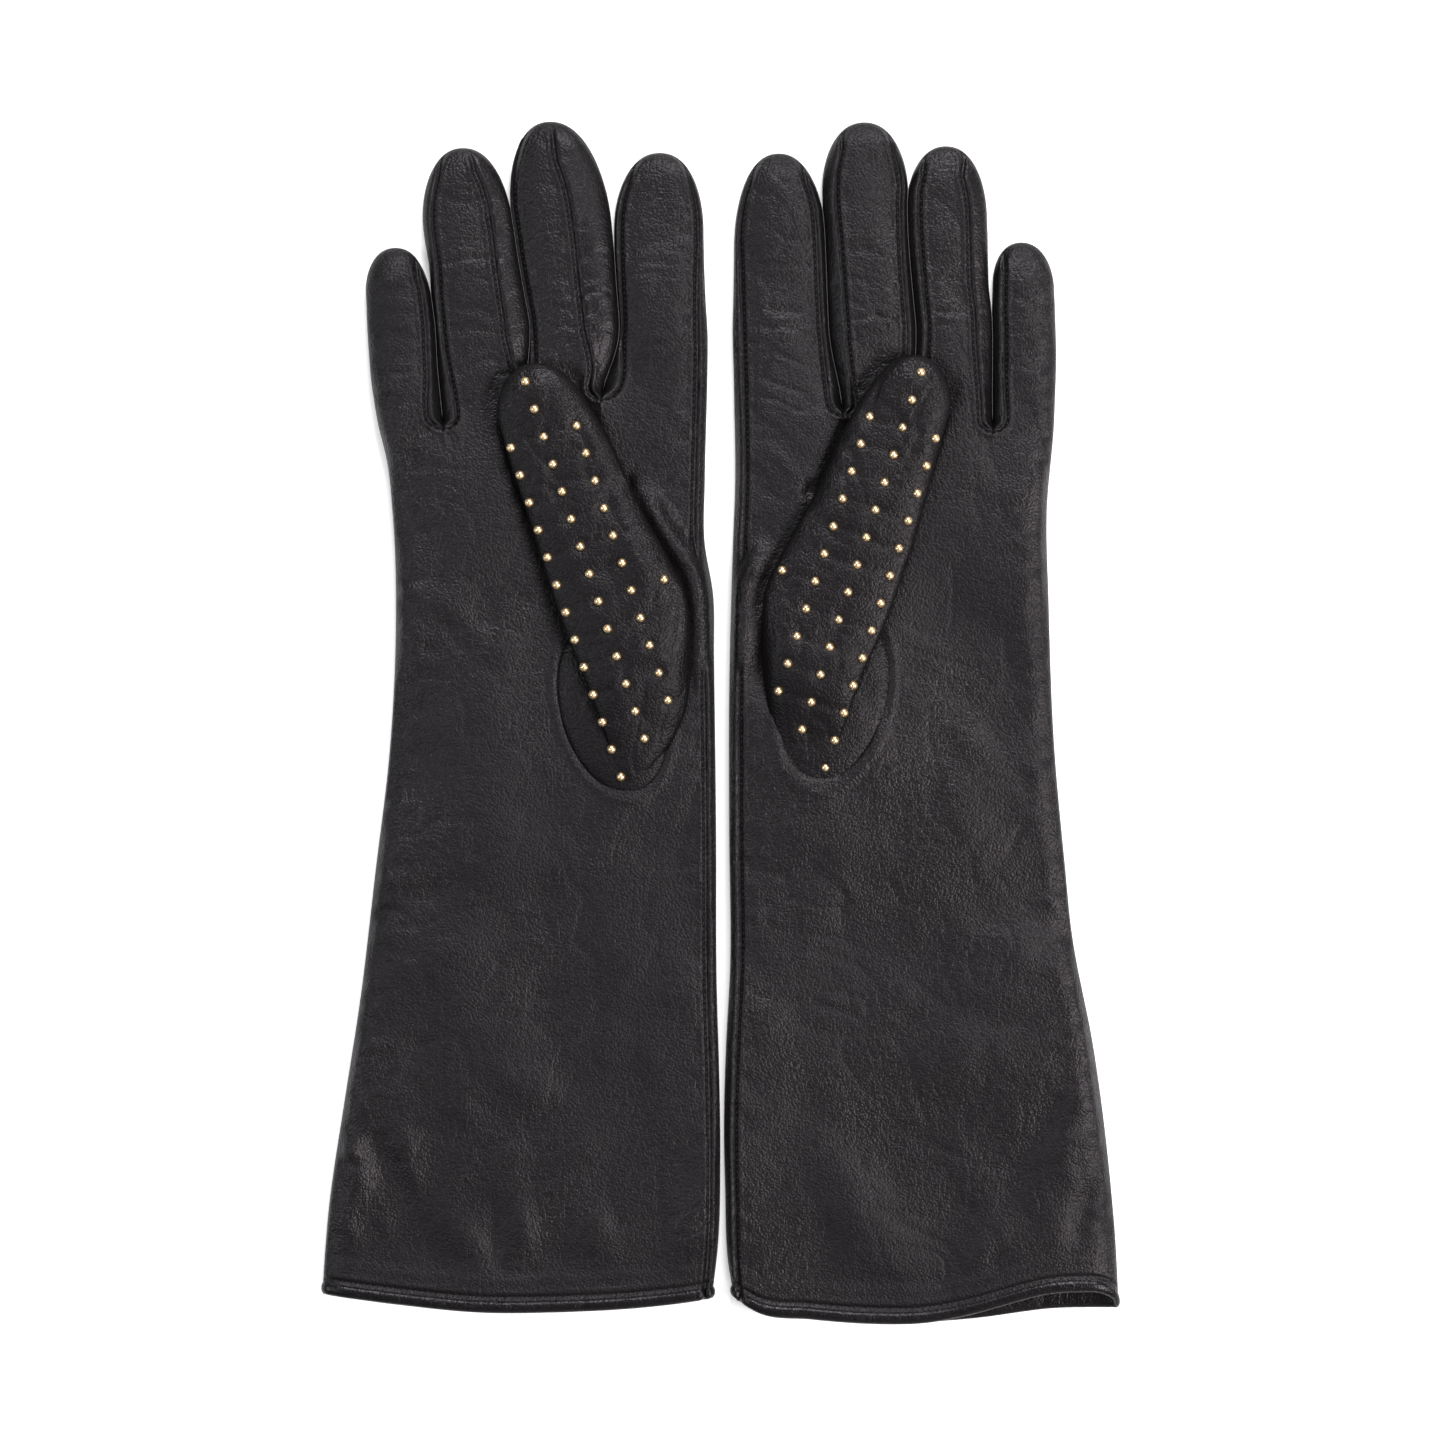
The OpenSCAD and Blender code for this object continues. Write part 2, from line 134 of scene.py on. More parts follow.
# Pebbled grain with stretched wrinkles: puts out a height, a tone mask and a gloss mask; the tone paints
# shade into the pebble pits and lightens worn patches
def makeGrainGroup():
    group = bpy.data.node_groups.new("leatherGrain", "ShaderNodeTree")
    socket(group, "Pebble Scale", "INPUT", value=1300.0)
    socket(group, "Wrinkle Scale", "INPUT", value=260.0)
    socket(group, "Wrinkle Depth", "INPUT", value=0.6)
    socket(group, "Height", "OUTPUT")
    socket(group, "Tone And Pit Shade", "OUTPUT")
    socket(group, "Gloss", "OUTPUT")
    enter = addNode(group, "NodeGroupInput", (-1200, 0))
    leave = addNode(group, "NodeGroupOutput", (900, 0))
    link = group.links.new
    coords = addNode(group, "ShaderNodeTexCoord", (-1200, 300))

    # the pebbles are pushed about a little, so that no row of cells shows
    drift = addNode(group, "ShaderNodeTexNoise", (-1000, 450))
    drift.inputs["Scale"].default_value = 420
    drift.inputs["Detail"].default_value = 2
    link(coords.outputs["Object"], drift.inputs["Vector"])
    pushed = addNode(group, "ShaderNodeMixRGB", (-800, 350), blend_type="ADD")
    pushed.inputs["Fac"].default_value = 0.0011
    link(coords.outputs["Object"], pushed.inputs["Color1"])
    link(drift.outputs["Color"], pushed.inputs["Color2"])
    pebble = addNode(group, "ShaderNodeTexVoronoi", (-600, 350), feature="SMOOTH_F1")
    pebble.inputs["Smoothness"].default_value = 0.35
    link(pushed.outputs[0], pebble.inputs["Vector"])
    link(enter.outputs["Pebble Scale"], pebble.inputs["Scale"])
    dome = mathNode(group, "SUBTRACT", (-400, 350), 0.75, pebble.outputs["Distance"])

    # wrinkles run mostly across the glove, where the leather has been worn
    bands = []
    for turn, stretch, row in ((0.25, (0.45, 1.5, 1), -60), (-0.9, (1.6, 0.5, 1), -360)):
        mapping = addNode(group, "ShaderNodeMapping", (-900, row))
        mapping.inputs["Rotation"].default_value = (0, 0, turn)
        mapping.inputs["Scale"].default_value = stretch
        link(coords.outputs["Object"], mapping.inputs["Vector"])
        wrinkle = addNode(group, "ShaderNodeTexNoise", (-650, row))
        wrinkle.inputs["Detail"].default_value = 2
        wrinkle.inputs["Roughness"].default_value = 0.5
        wrinkle.inputs["Distortion"].default_value = 0.6
        link(mapping.outputs[0], wrinkle.inputs["Vector"])
        link(enter.outputs["Wrinkle Scale"], wrinkle.inputs["Scale"])
        centred = mathNode(group, "SUBTRACT", (-450, row), wrinkle.outputs["Fac"], 0.5)
        fold = mathNode(group, "ABSOLUTE", (-300, row), centred)
        bands.append(mathNode(group, "MINIMUM", (-150, row), fold, 0.09))
    both = mathNode(group, "ADD", (0, -150), bands[0], bands[1])
    deep = mathNode(group, "MULTIPLY", (150, -150), both, enter.outputs["Wrinkle Depth"])
    wornMask = addNode(group, "ShaderNodeTexNoise", (-650, -900))
    wornMask.inputs["Scale"].default_value = 48
    wornMask.inputs["Detail"].default_value = 2
    link(coords.outputs["Object"], wornMask.inputs["Vector"])
    wornShare = addNode(group, "ShaderNodeMapRange", (-400, -900))
    wornShare.inputs["From Min"].default_value = 0.4
    wornShare.inputs["From Max"].default_value = 0.62
    wornShare.inputs["To Min"].default_value = 1.5
    wornShare.inputs["To Max"].default_value = 9.0
    link(wornMask.outputs["Fac"], wornShare.inputs["Value"])
    wrinkled = mathNode(group, "MULTIPLY", (300, -150), deep, wornShare.outputs[0])

    # worn patches, some centimetres wide
    patch = addNode(group, "ShaderNodeTexNoise", (-650, -650))
    patch.inputs["Scale"].default_value = 24
    patch.inputs["Detail"].default_value = 3
    link(coords.outputs["Object"], patch.inputs["Vector"])
    patchMask = addNode(group, "ShaderNodeMapRange", (-400, -650))
    patchMask.inputs["From Min"].default_value = 0.35
    patchMask.inputs["From Max"].default_value = 0.68
    link(patch.outputs["Fac"], patchMask.inputs["Value"])

    height = mathNode(group, "ADD", (500, 150), dome, wrinkled)
    # painted shade: the pebble pits are coloured darker and the domes lighter, following the grain's height
    pit = mathNode(group, "MULTIPLY", (300, 400), dome, 0.5)
    fade = mathNode(group, "MULTIPLY", (300, 300), patchMask.outputs[0], 0.6)
    tone = mathNode(group, "ADD", (500, 350), pit, fade)
    link(height, leave.inputs["Height"])
    link(tone, leave.inputs["Tone And Pit Shade"])
    link(patchMask.outputs[0], leave.inputs["Gloss"])
    return group


grainGroup = makeGrainGroup()

# Base colour between low and high, darkest in the pebble pits as painted shade, roughness between the two
# gloss values, grain and bump in mm
leatherFinish = {
    "palm_leather": {
        "low": (0.0018, 0.0016, 0.0019), "high": (0.0085, 0.0075, 0.008),
        "specular": 0.28, "gloss": (0.40, 0.52),
        "pebble": 1450, "wrinkle": 230, "wrinkleDepth": 0.36, "bump": 0.17,
    },
    "back_leather": {
        "low": (0.0018, 0.0016, 0.0019), "high": (0.008, 0.0072, 0.0077),
        "specular": 0.28, "gloss": (0.40, 0.52),
        "pebble": 1450, "wrinkle": 230, "wrinkleDepth": 0.36, "bump": 0.17,
    },
    "side_leather": {
        "low": (0.0015, 0.0014, 0.0016), "high": (0.006, 0.0055, 0.0059),
        "specular": 0.28, "gloss": (0.39, 0.49),
        "pebble": 1300, "wrinkle": 300, "wrinkleDepth": 0.18, "bump": 0.11,
    },
    "thumb_leather": {
        "low": (0.0018, 0.0016, 0.0019), "high": (0.008, 0.0071, 0.0075),
        "specular": 0.22, "gloss": (0.38, 0.5),
        "pebble": 1450, "wrinkle": 230, "wrinkleDepth": 0.36, "bump": 0.16,
    },
    "binding_leather": {
        "low": (0.0015, 0.0014, 0.0016), "high": (0.005, 0.0046, 0.005),
        "specular": 0.28, "gloss": (0.32, 0.42),
        "pebble": 1400, "wrinkle": 380, "wrinkleDepth": 0.4, "bump": 0.09,
    },
}


def makeLeather(name, values):
    material, tree, shader = newMaterial(name)
    grain = addNode(tree, "ShaderNodeGroup", (-700, 0), node_tree=grainGroup)
    grain.inputs["Pebble Scale"].default_value = values["pebble"]
    grain.inputs["Wrinkle Scale"].default_value = values["wrinkle"]
    grain.inputs["Wrinkle Depth"].default_value = values["wrinkleDepth"]
    # base colour from the grain tone: painted shade in the pebble pits, and lighter worn patches
    tone = toneFrom(tree, (-400, 250), grain.outputs["Tone And Pit Shade"], values["low"], values["high"])
    glossy, dull = values["gloss"]
    gloss = rangeFrom(tree, (-400, 0), grain.outputs["Gloss"], dull, glossy)
    bump = bumpFrom(tree, (-400, -250), grain.outputs["Height"], values["bump"])
    tree.links.new(tone, shader.inputs["Base Color"])
    tree.links.new(gloss, shader.inputs["Roughness"])
    tree.links.new(bump, shader.inputs["Normal"])
    shader.inputs["Specular IOR Level"].default_value = values["specular"]
    shader.inputs["Specular Tint"].default_value = (1.0, 0.95, 1.0, 1)
    return material


threadFinish = {"low": (0.004, 0.004, 0.0045), "high": (0.014, 0.013, 0.015), "twist": 900, "bump": 0.05}


def makeThread():
    material, tree, shader = newMaterial("thread")
    coords = addNode(tree, "ShaderNodeTexCoord", (-900, 0))
    twist = addNode(tree, "ShaderNodeTexWave", (-700, 0), wave_type="BANDS", bands_direction="DIAGONAL")
    twist.inputs["Scale"].default_value = threadFinish["twist"]
    twist.inputs["Distortion"].default_value = 1.5
    tree.links.new(coords.outputs["Object"], twist.inputs["Vector"])
    strand = twist.outputs["Fac"]
    tone = toneFrom(tree, (-450, 150), strand, threadFinish["low"], threadFinish["high"])
    tree.links.new(tone, shader.inputs["Base Color"])
    tree.links.new(bumpFrom(tree, (-450, -150), strand, threadFinish["bump"]), shader.inputs["Normal"])
    shader.inputs["Roughness"].default_value = 0.55
    return material


clothFinish = {"low": (0.006, 0.006, 0.007), "high": (0.016, 0.016, 0.018), "yarn": 650, "bump": 0.06}


def makeLining():
    material, tree, shader = newMaterial("lining_cloth")
    coords = addNode(tree, "ShaderNodeTexCoord", (-900, 0))
    heights = []
    for direction, place in (("X", 120), ("Y", -120)):
        yarn = addNode(tree, "ShaderNodeTexWave", (-700, place), bands_direction=direction)
        yarn.inputs["Scale"].default_value = clothFinish["yarn"]
        yarn.inputs["Distortion"].default_value = 0.4
        tree.links.new(coords.outputs["Object"], yarn.inputs["Vector"])
        heights.append(yarn.outputs["Fac"])
    weave = mathNode(tree, "MULTIPLY", (-480, 0), heights[0], heights[1])
    tone = toneFrom(tree, (-280, 150), weave, clothFinish["low"], clothFinish["high"])
    tree.links.new(tone, shader.inputs["Base Color"])
    tree.links.new(bumpFrom(tree, (-280, -150), weave, clothFinish["bump"]), shader.inputs["Normal"])
    shader.inputs["Roughness"].default_value = 0.7
    return material


brassFinish = {"low": (0.92, 0.62, 0.32), "high": (1.0, 0.8, 0.5), "tarnish": 700, "roughness": (0.32, 0.46)}


def makeBrass():
    material, tree, shader = newMaterial("stud_brass")
    coords = addNode(tree, "ShaderNodeTexCoord", (-900, 0))
    tarnish = addNode(tree, "ShaderNodeTexNoise", (-700, 0))
    tarnish.inputs["Scale"].default_value = brassFinish["tarnish"]
    tarnish.inputs["Detail"].default_value = 3
    tree.links.new(coords.outputs["Object"], tarnish.inputs["Vector"])
    mask = tarnish.outputs["Fac"]
    tone = toneFrom(tree, (-450, 150), mask, brassFinish["low"], brassFinish["high"])
    tree.links.new(tone, shader.inputs["Base Color"])
    wear = rangeFrom(tree, (-450, -50), mask, *brassFinish["roughness"])
    tree.links.new(wear, shader.inputs["Roughness"])
    shader.inputs["Metallic"].default_value = 1.0
    return material


materials = {name: makeLeather(name, values) for name, values in leatherFinish.items()}
materials["thread"] = makeThread()
materials["lining_cloth"] = makeLining()
materials["stud_brass"] = makeBrass()
for nodeName, cadObject in cadNodes.items():
    cadObject.data.materials.clear()
    cadObject.data.materials.append(materials[slotOf[nodeName]])
print("materials made")


def smooth(low, high, value):
    t = np.clip((value - low) / (high - low), 0, 1)
    return t * t * (3 - 2 * t)


def mix(first, second, share):
    return first + (second - first) * share


# Smooth curve through (place, value) points, level beyond its ends
def through(points, at):
    xs, ys = np.array(points, float).T
    slopes = np.gradient(ys, xs)
    x = np.clip(at, xs[0], xs[-1])
    i = np.clip(np.searchsorted(xs, x) - 1, 0, len(xs) - 2)
    h = xs[i + 1] - xs[i]
    t = (x - xs[i]) / h
    return ((2 * t**3 - 3 * t**2 + 1) * ys[i] + (t**3 - 2 * t**2 + t) * h * slopes[i]
            + (3 * t**2 - 2 * t**3) * ys[i + 1] + (t**3 - t**2) * h * slopes[i + 1])


# Smooth noise between -1 and 1
def waves(x, y, seed):
    table = np.random.RandomState(seed).uniform(-1, 1, (64, 64))
    x, y = np.broadcast_arrays(np.asarray(x, float), np.asarray(y, float))
    xi, yi = np.floor(x).astype(int), np.floor(y).astype(int)
    fx, fy = x - xi, y - yi
    fx = fx**3 * (fx * (6 * fx - 15) + 10)
    fy = fy**3 * (fy * (6 * fy - 15) + 10)
    a, b = table[xi % 64, yi % 64], table[(xi + 1) % 64, yi % 64]
    c, d = table[xi % 64, (yi + 1) % 64], table[(xi + 1) % 64, (yi + 1) % 64]
    return mix(mix(a, b, fx), mix(c, d, fx), fy)


# Thin creases that wander where the noise crosses zero
def creases(x, y, seed, width):
    return np.exp(-(waves(x, y, seed) / width) ** 2)


# Distance from (u, y) places to a chain of points
def distanceTo(chain, u, y):
    best = np.full(np.shape(u), 1e9)
    share = np.zeros(np.shape(u))
    for k in range(len(chain) - 1):
        (au, ay), (bu, by) = chain[k], chain[k + 1]
        du, dy = bu - au, by - ay
        t = np.clip(((u - au) * du + (y - ay) * dy) / (du * du + dy * dy), 0, 1)
        d = np.hypot(u - au - t * du, y - ay - t * dy)
        closer = d < best
        best = np.where(closer, d, best)
        share = np.where(closer, (k + t) / (len(chain) - 1), share)
    return best, share


def newPiece(name, mesh, slotName):
    mesh.materials.append(materials[slotName])
    piece = bpy.data.objects.new(name, mesh)
    bpy.context.scene.collection.objects.link(piece)
    return piece


# Leather of a real thickness: the outer skin, its inner side and the cut edge round it
def makePiece(name, places, normals, faces, thickness, slotName):
    ids = np.unique(np.concatenate([np.ravel(face) for face in faces]))
    renumber = np.zeros(len(places), int)
    renumber[ids] = np.arange(len(ids))
    outer, facing = places[ids], normals[ids]
    count = len(ids)
    faceList = []
    edgeUse = {}
    for block in faces:
        for face in renumber[block].tolist():
            corners = [v for k, v in enumerate(face) if v != face[k - 1]]
            if len(corners) < 3:
                continue
            faceList.append(corners)
            for k, v in enumerate(corners):
                edgeUse[(corners[k - 1], v)] = 1
    inner = [[v + count for v in reversed(face)] for face in faceList]
    rim = [[b, a, a + count, b + count] for a, b in edgeUse if (b, a) not in edgeUse]
    mesh = bpy.data.meshes.new(name)
    co = np.concatenate([outer, outer - facing * thickness]) * mm
    mesh.from_pydata(co.tolist(), [], faceList + inner + rim)
    mesh.update()
    mesh.polygons.foreach_set("use_smooth", np.ones(len(mesh.polygons), bool))
    mesh.normals_split_custom_set_from_vertices(np.concatenate([facing, -facing]).tolist())
    return newPiece(name, mesh, slotName)


def vertexNormals(places, faces):
    normals = np.zeros_like(places)
    for block in faces:
        a, b, c, d = (places[block[:, k]] for k in (0, 1, 2, -1))
        cross = np.cross(c - a, d - b)
        for k in range(block.shape[1]):
            np.add.at(normals, block[:, k], cross)
    length = np.linalg.norm(normals, axis=1, keepdims=True)
    return normals / np.maximum(length, 1e-9)


def mergeTwins(places, faces):
    keys = np.round(places * 2000).astype(np.int64)
    _, first, back = np.unique(keys, axis=0, return_index=True, return_inverse=True)
    return places[first], [back.reshape(-1)[block] for block in faces]


def gridFaces(index, flip):
    a, b = index[:-1, :-1], index[:-1, 1:]
    c, d = index[1:, 1:], index[1:, :-1]
    quads = np.stack([a, b, c, d], axis=-1).reshape(-1, 4)
    return quads[:, ::-1] if flip else quads


# Every glove is drawn in its own plan, u from the middle line and y to the fingertips, in mm
gloves = {
    "right": {
        "sign": -1,
        "outer": [(-172, 113.7), (-144, 111.7), (-110, 107.2), (-76, 102.3), (-42, 98.3), (-8, 94.3),
                  (20, 92.7), (60, 93.5), (74, 95), (86, 97.8), (100, 99.8), (120, 101.2)],
        "inner": [(-172, 2.6), (-153, 0.5), (-127, -0.1), (-102, 0.2), (-76, 0.9), (-30, 1.1), (20, 1.7),
                  (36, 1.9), (52, 4.4), (69, 4.3), (103, 3.5), (120, 3.4)],
        "hem": [(2, -164.3), (14, -166), (47, -168.2), (69, -168.2), (92, -166), (113, -163.2)],
        "crotches": [(33.8, 92.2, 4.5), (54.8, 91, 2.6), (78.9, 83.9, 4.2)],
        "contacts": [28.5, 55.7, 82.4],
        "ease": [(96, 118), (98, 118), (99, 122)],
        "touch": [138, 140, 128],
        "fingers": [
            {"tip": (17.2, 162.6), "half": (12.7, 12.8), "taper": 22, "bow": 0.7, "near": (3.2, 1.7),
             "far": (1.2, 1.9), "cut": 98, "bend": (101, 119),
             "creases": [(131.2, 1), (109.3, 0.6), (124, 0.4)]},
            {"tip": (48.4, 171.5), "half": (12.8, 14.2), "taper": 27, "bow": 0.4, "near": (10.5, 11.5),
             "far": (0.9, 0.9), "cut": 98, "bend": (105, 123),
             "creases": [(140, 0.5), (123, 0.9), (113.3, 0.8), (133, 0.4)]},
            {"tip": (73.3, 164), "half": (12.4, 13), "taper": 24, "bow": 1.4, "near": (7.4, 6.5),
             "far": (2.2, 3), "cut": 98, "bend": (104, 122),
             "creases": [(131.2, 1), (112.7, 0.9), (128, 0.5)]},
            {"tip": (92.6, 135.5), "half": (9.3, 8.7), "taper": 12.5, "bow": 0.6, "near": (2.9, 2.6),
             "far": (2.5, 2), "cut": 88, "bend": (92, 110),
             "creases": [(100.7, 0.8), (118, 0.4)]},
        ],
        "notch": (26.2, 67.5),
        "rollHeight": 2.8,
        "roll": [(24.5, 70), (16.2, 55.4), (6.4, 42), (4.9, 27), (5.4, 9)],
        "folds": [((98, -120), (83, -153), 3.6, -1.7), ((105, -118), (103, -134), 3.5, 1.0),
                  ((107, -140), (103, -151), 3, 0.7), ((91, -116), (86, -136), 4.5, 1.0),
                  ((78, -138), (72, -151), 4, 0.6), ((65, -138), (63.5, -156), 2.4, -1.2),
                  ((57, -136), (55, -151), 3.6, 0.9), ((38, -140), (30, -154), 6, 0.8),
                  ((26, -96), (23, -130), 5, -0.9), ((14, -138), (8, -150), 4, 0.5),
                  ((84, -88), (89, -99), 4, -0.8), ((66, -98), (44, -108), 6, 0.7),
                  ((62, -60), (92, -72), 7, 0.8), ((70, -46), (98, -52), 4, -0.6),
                  ((60, 20), (90, 40), 4.5, 0.4)],
        "seed": 3,
    },
    "left": {
        "sign": 1,
        "outer": [(-172, 114), (-144, 112.4), (-127, 110.9), (-93, 106.6), (-59, 100.3), (-42, 98.6),
                  (-8, 95.5), (35, 93.8), (60, 93.3), (86, 95.4), (120, 95.5)],
        "inner": [(-172, 4.5), (-162, 2.6), (-136, 1.4), (-119, 1.1), (-93, 1.7), (-68, 2.9), (-33, 2.6),
                  (9, 2.6), (52, 3.7), (69, 4.3), (92, 4.0), (120, 3.4)],
        "hem": [(3, -163.6), (10, -168), (26, -170.2), (49, -171.6), (72, -170.3), (95, -167.4), (113, -167)],
        "crotches": [(35.2, 87.6, 3.75), (55, 88, 2.5), (77.8, 83.1, 3.7)],
        "contacts": [30.9, 55.6, 77.5],
        "ease": [(94, 118), (96, 118), (92, 118)],
        "touch": [128, 148, 122],
        "fingers": [
            {"tip": (16.8, 162.4), "half": (13.5, 13.2), "taper": 27, "bow": 0.3, "near": (3, 1.7),
             "far": (2.4, 2.6), "cut": 98, "bend": (101, 119),
             "creases": [(130.4, 0.9), (112, 0.8), (118, 0.4)]},
            {"tip": (41.2, 171.3), "half": (12.1, 12.3), "taper": 20, "bow": -0.6, "near": (5, 3.9),
             "far": (2.9, 2.3), "cut": 98, "bend": (105, 123),
             "creases": [(135.2, 0.8), (115, 0.9), (112, 0.5)]},
            {"tip": (64.5, 164.5), "half": (10.4, 11.6), "taper": 20, "bow": -0.8, "near": (3.2, 3.2),
             "far": (5.2, 5.5), "cut": 98, "bend": (104, 122),
             "creases": [(126.1, 0.8), (116.7, 0.9), (112.7, 0.5)]},
            {"tip": (86, 137), "half": (8.6, 8.8), "taper": 13, "bow": 0, "near": (3.2, 3.2),
             "far": (2.5, 2), "cut": 88, "bend": (92, 110),
             "creases": [(101, 0.7), (112, 0.5)]},
        ],
        "notch": (25.0, 66.0),
        "rollHeight": 2.2,
        "roll": [(15, 54), (6.2, 39), (5, 24), (5.4, 8)],
        "openHem": {"span": (54, 100, 105, 113.6), "back": 4.9, "rise": 1.9},
        "folds": [((104, -95), (98, -126), 4, 0.9), ((109, -122), (100, -150), 3.4, -1.2),
                  ((92, -110), (78, -150), 5, -0.8), ((60, -58), (95, -68), 7, 0.9),
                  ((58, -82), (94, -86), 6, -0.7), ((30, -118), (46, -152), 7, 0.8),
                  ((84, -20), (60, 10), 5, 0.5), ((40, -30), (20, -70), 7, 0.6),
                  ((86, -138), (70, -156), 3, 0.7)],
        "seed": 11,
    },
}

skinShape = {
    "thickness": 0.7, "hemBack": 3.0, "wrist": -40.2, "wristBend": (-28, -52), "seamStrip": 3.0,
    "groove": 1.0, "grooveWidth": 0.55, "puff": 0.42, "puffAt": 1.3,
    "gap": 0.04, "splitAbove": 2.6, "easeTop": 118.0, "edgeRound": 7.0,
    "height": [(-172, 5.6), (-150, 7.2), (-100, 7.8), (-40, 7.8), (30, 8), (90, 8), (120, 7.9), (172, 7.4)],
}


def pivotPlace(jointName):
    place = jointOf[jointName]["pos_m"]
    return abs(place[0]) / mm, place[1] / mm


# Each thumb is drawn in its own frame: x across it and s along it from its fold
thumbs = {
    "right": {
        "near": [(-22.4, 15), (-21.3, 11.5), (-17.3, 4.1), (-9.9, -4.8), (4.7, -12.7), (16.5, -17.2),
                 (25, -18.6), (35.2, -17.5), (52.4, -15), (66.9, -14.2), (76.2, -13.1), (85.1, -11.2),
                 (101, -9)],
        "far": [(-22.4, 16), (-21, 18.4), (-18.6, 18.9), (-11.3, 17.4), (0.9, 16.9), (9.6, 17), (24.2, 17.4),
                (42.6, 16.8), (56.5, 15.9), (75.2, 15.2), (86.3, 14.3), (101, 12.5)],
        "tip": (1.4, 100.6), "root": {"centre": (12, 1), "reach": (15.2, 25.5), "turn": 0.12},
    },
    "left": {
        "near": [(-23.6, 15), (-22.4, 11), (-20.2, 7), (-14.5, 0.3), (-4.5, -6.5), (10.9, -13.2),
                 (23, -16.8), (30.1, -16.5), (44.2, -14.5), (57.5, -12.8), (69.1, -12.3), (80.7, -10.8),
                 (90.9, -8.6), (101, -7.6)],
        "far": [(-23.6, 16), (-22, 18.8), (-18.6, 19.2), (-13.3, 18.4), (-0.2, 17.6), (13.3, 17.9),
                (24.8, 18.7), (36.3, 18.6), (49.5, 18.2), (66.5, 16.6), (81.3, 15.2), (88.2, 14.6),
                (101, 13)],
        "tip": (2.2, 100.6), "root": {"centre": (12.4, 1), "reach": (15.4, 25.5), "turn": 0.12},
    },
}
thumbShape = {"top": 16.0, "edge": 11.9, "palm": 8.0, "under": 8.6, "bendZone": 13.0, "thickness": 0.7,
              "tipRound": 13.0, "rows": 1.0, "columns": 44, "rootHeight": 2.6}


class Thumb:
    def __init__(self, side):
        self.data = thumbs[side]
        self.side, self.sign = side, -1 if side == "right" else 1
        self.fold = pivotPlace(side + "_thumb_lift")
        axis = jointOf[side + "_thumb_lift"]["axis"]
        self.lean = math.atan2(abs(axis[1]), abs(axis[0]))

    # Thumb frame to the glove's plan, and back
    def toPlan(self, x, s):
        c, k = math.cos(self.lean), math.sin(self.lean)
        return self.fold[0] + x * c + s * k, self.fold[1] - x * k + s * c

    def fromPlan(self, u, y):
        c, k = math.cos(self.lean), math.sin(self.lean)
        du, dy = u - self.fold[0], y - self.fold[1]
        return du * c - dy * k, du * k + dy * c

    def outline(self, s):
        tipX, tipS = self.data["tip"]
        t = np.clip((tipS - s) / thumbShape["tipRound"], 0, 1)
        closing = np.sqrt(np.maximum(1 - (1 - t) ** 2, 1e-6))
        near, far = through(self.data["near"], s), through(self.data["far"], s)
        return tipX + (near - tipX) * closing, tipX + (far - tipX) * closing

    # Distance round the root: below 1 inside its oval seam
    def rootRound(self, x, s):
        root = self.data["root"]
        (cx, cs), (rx, rs), turn = root["centre"], root["reach"], root["turn"]
        dx, ds = x - cx, s - cs
        a = dx * math.cos(turn) + ds * math.sin(turn)
        b = -dx * math.sin(turn) + ds * math.cos(turn)
        return np.sqrt((a / rx) ** 2 + (b / rs) ** 2)

    # How far the palm is pressed down under the thumb, and the puffed edge round the oval seam
    def cover(self, u, y):
        x, s = self.fromPlan(u, y)
        tube = (1 - smooth(11, 16, np.abs(x - 1))) * smooth(-12, 0, s) * (1 - smooth(92, 101, s))
        away = (self.rootRound(x, s) - 1) * self.data["root"]["reach"][0]
        inside = 1 - smooth(-2.5, -0.5, away)
        ring = np.exp(-((away - 1.3) / 0.75) ** 2) * (1 - smooth(20, 27, s))
        return np.maximum(tube, inside), ring

    # Height of the thumb's upper or under side
    def height(self, x, s, top):
        near, far = self.outline(s)
        across = np.clip((2 * x - near - far) / np.maximum(far - near, 1e-6), -1, 1)
        shape, palm = thumbShape, thumbShape["palm"]
        nearZ = mix(palm - 0.2, shape["edge"], smooth(0, 24, s))
        farZ = mix(palm + 0.1, shape["edge"], smooth(-21, 2, s))
        edgeZ = mix(nearZ, farZ, (across + 1) / 2)
        full = mix(palm + 1.4, shape["top"], smooth(-25, 13, s))
        t = np.clip((self.data["tip"][1] - s) / 9.0, 0, 1)
        ending = np.sqrt(np.maximum(1 - (1 - t) ** 2, 0))
        low = np.clip((s - self.data["near"][0][0]) / 6.0, 0, 1)
        ending = ending * np.sqrt(np.maximum(1 - (1 - low) ** 2, 0))
        if top:
            crown = np.sqrt(np.maximum(1 - np.abs(across) ** 3.0, 0))
            return edgeZ + (full - edgeZ) * crown * ending, across
        floorZ = mix(palm - 0.8, shape["under"], smooth(2, 24, s))
        belly = np.sqrt(np.maximum(1 - np.abs(across) ** 4.0, 0))
        return edgeZ + (floorZ - edgeZ) * belly * ending, across


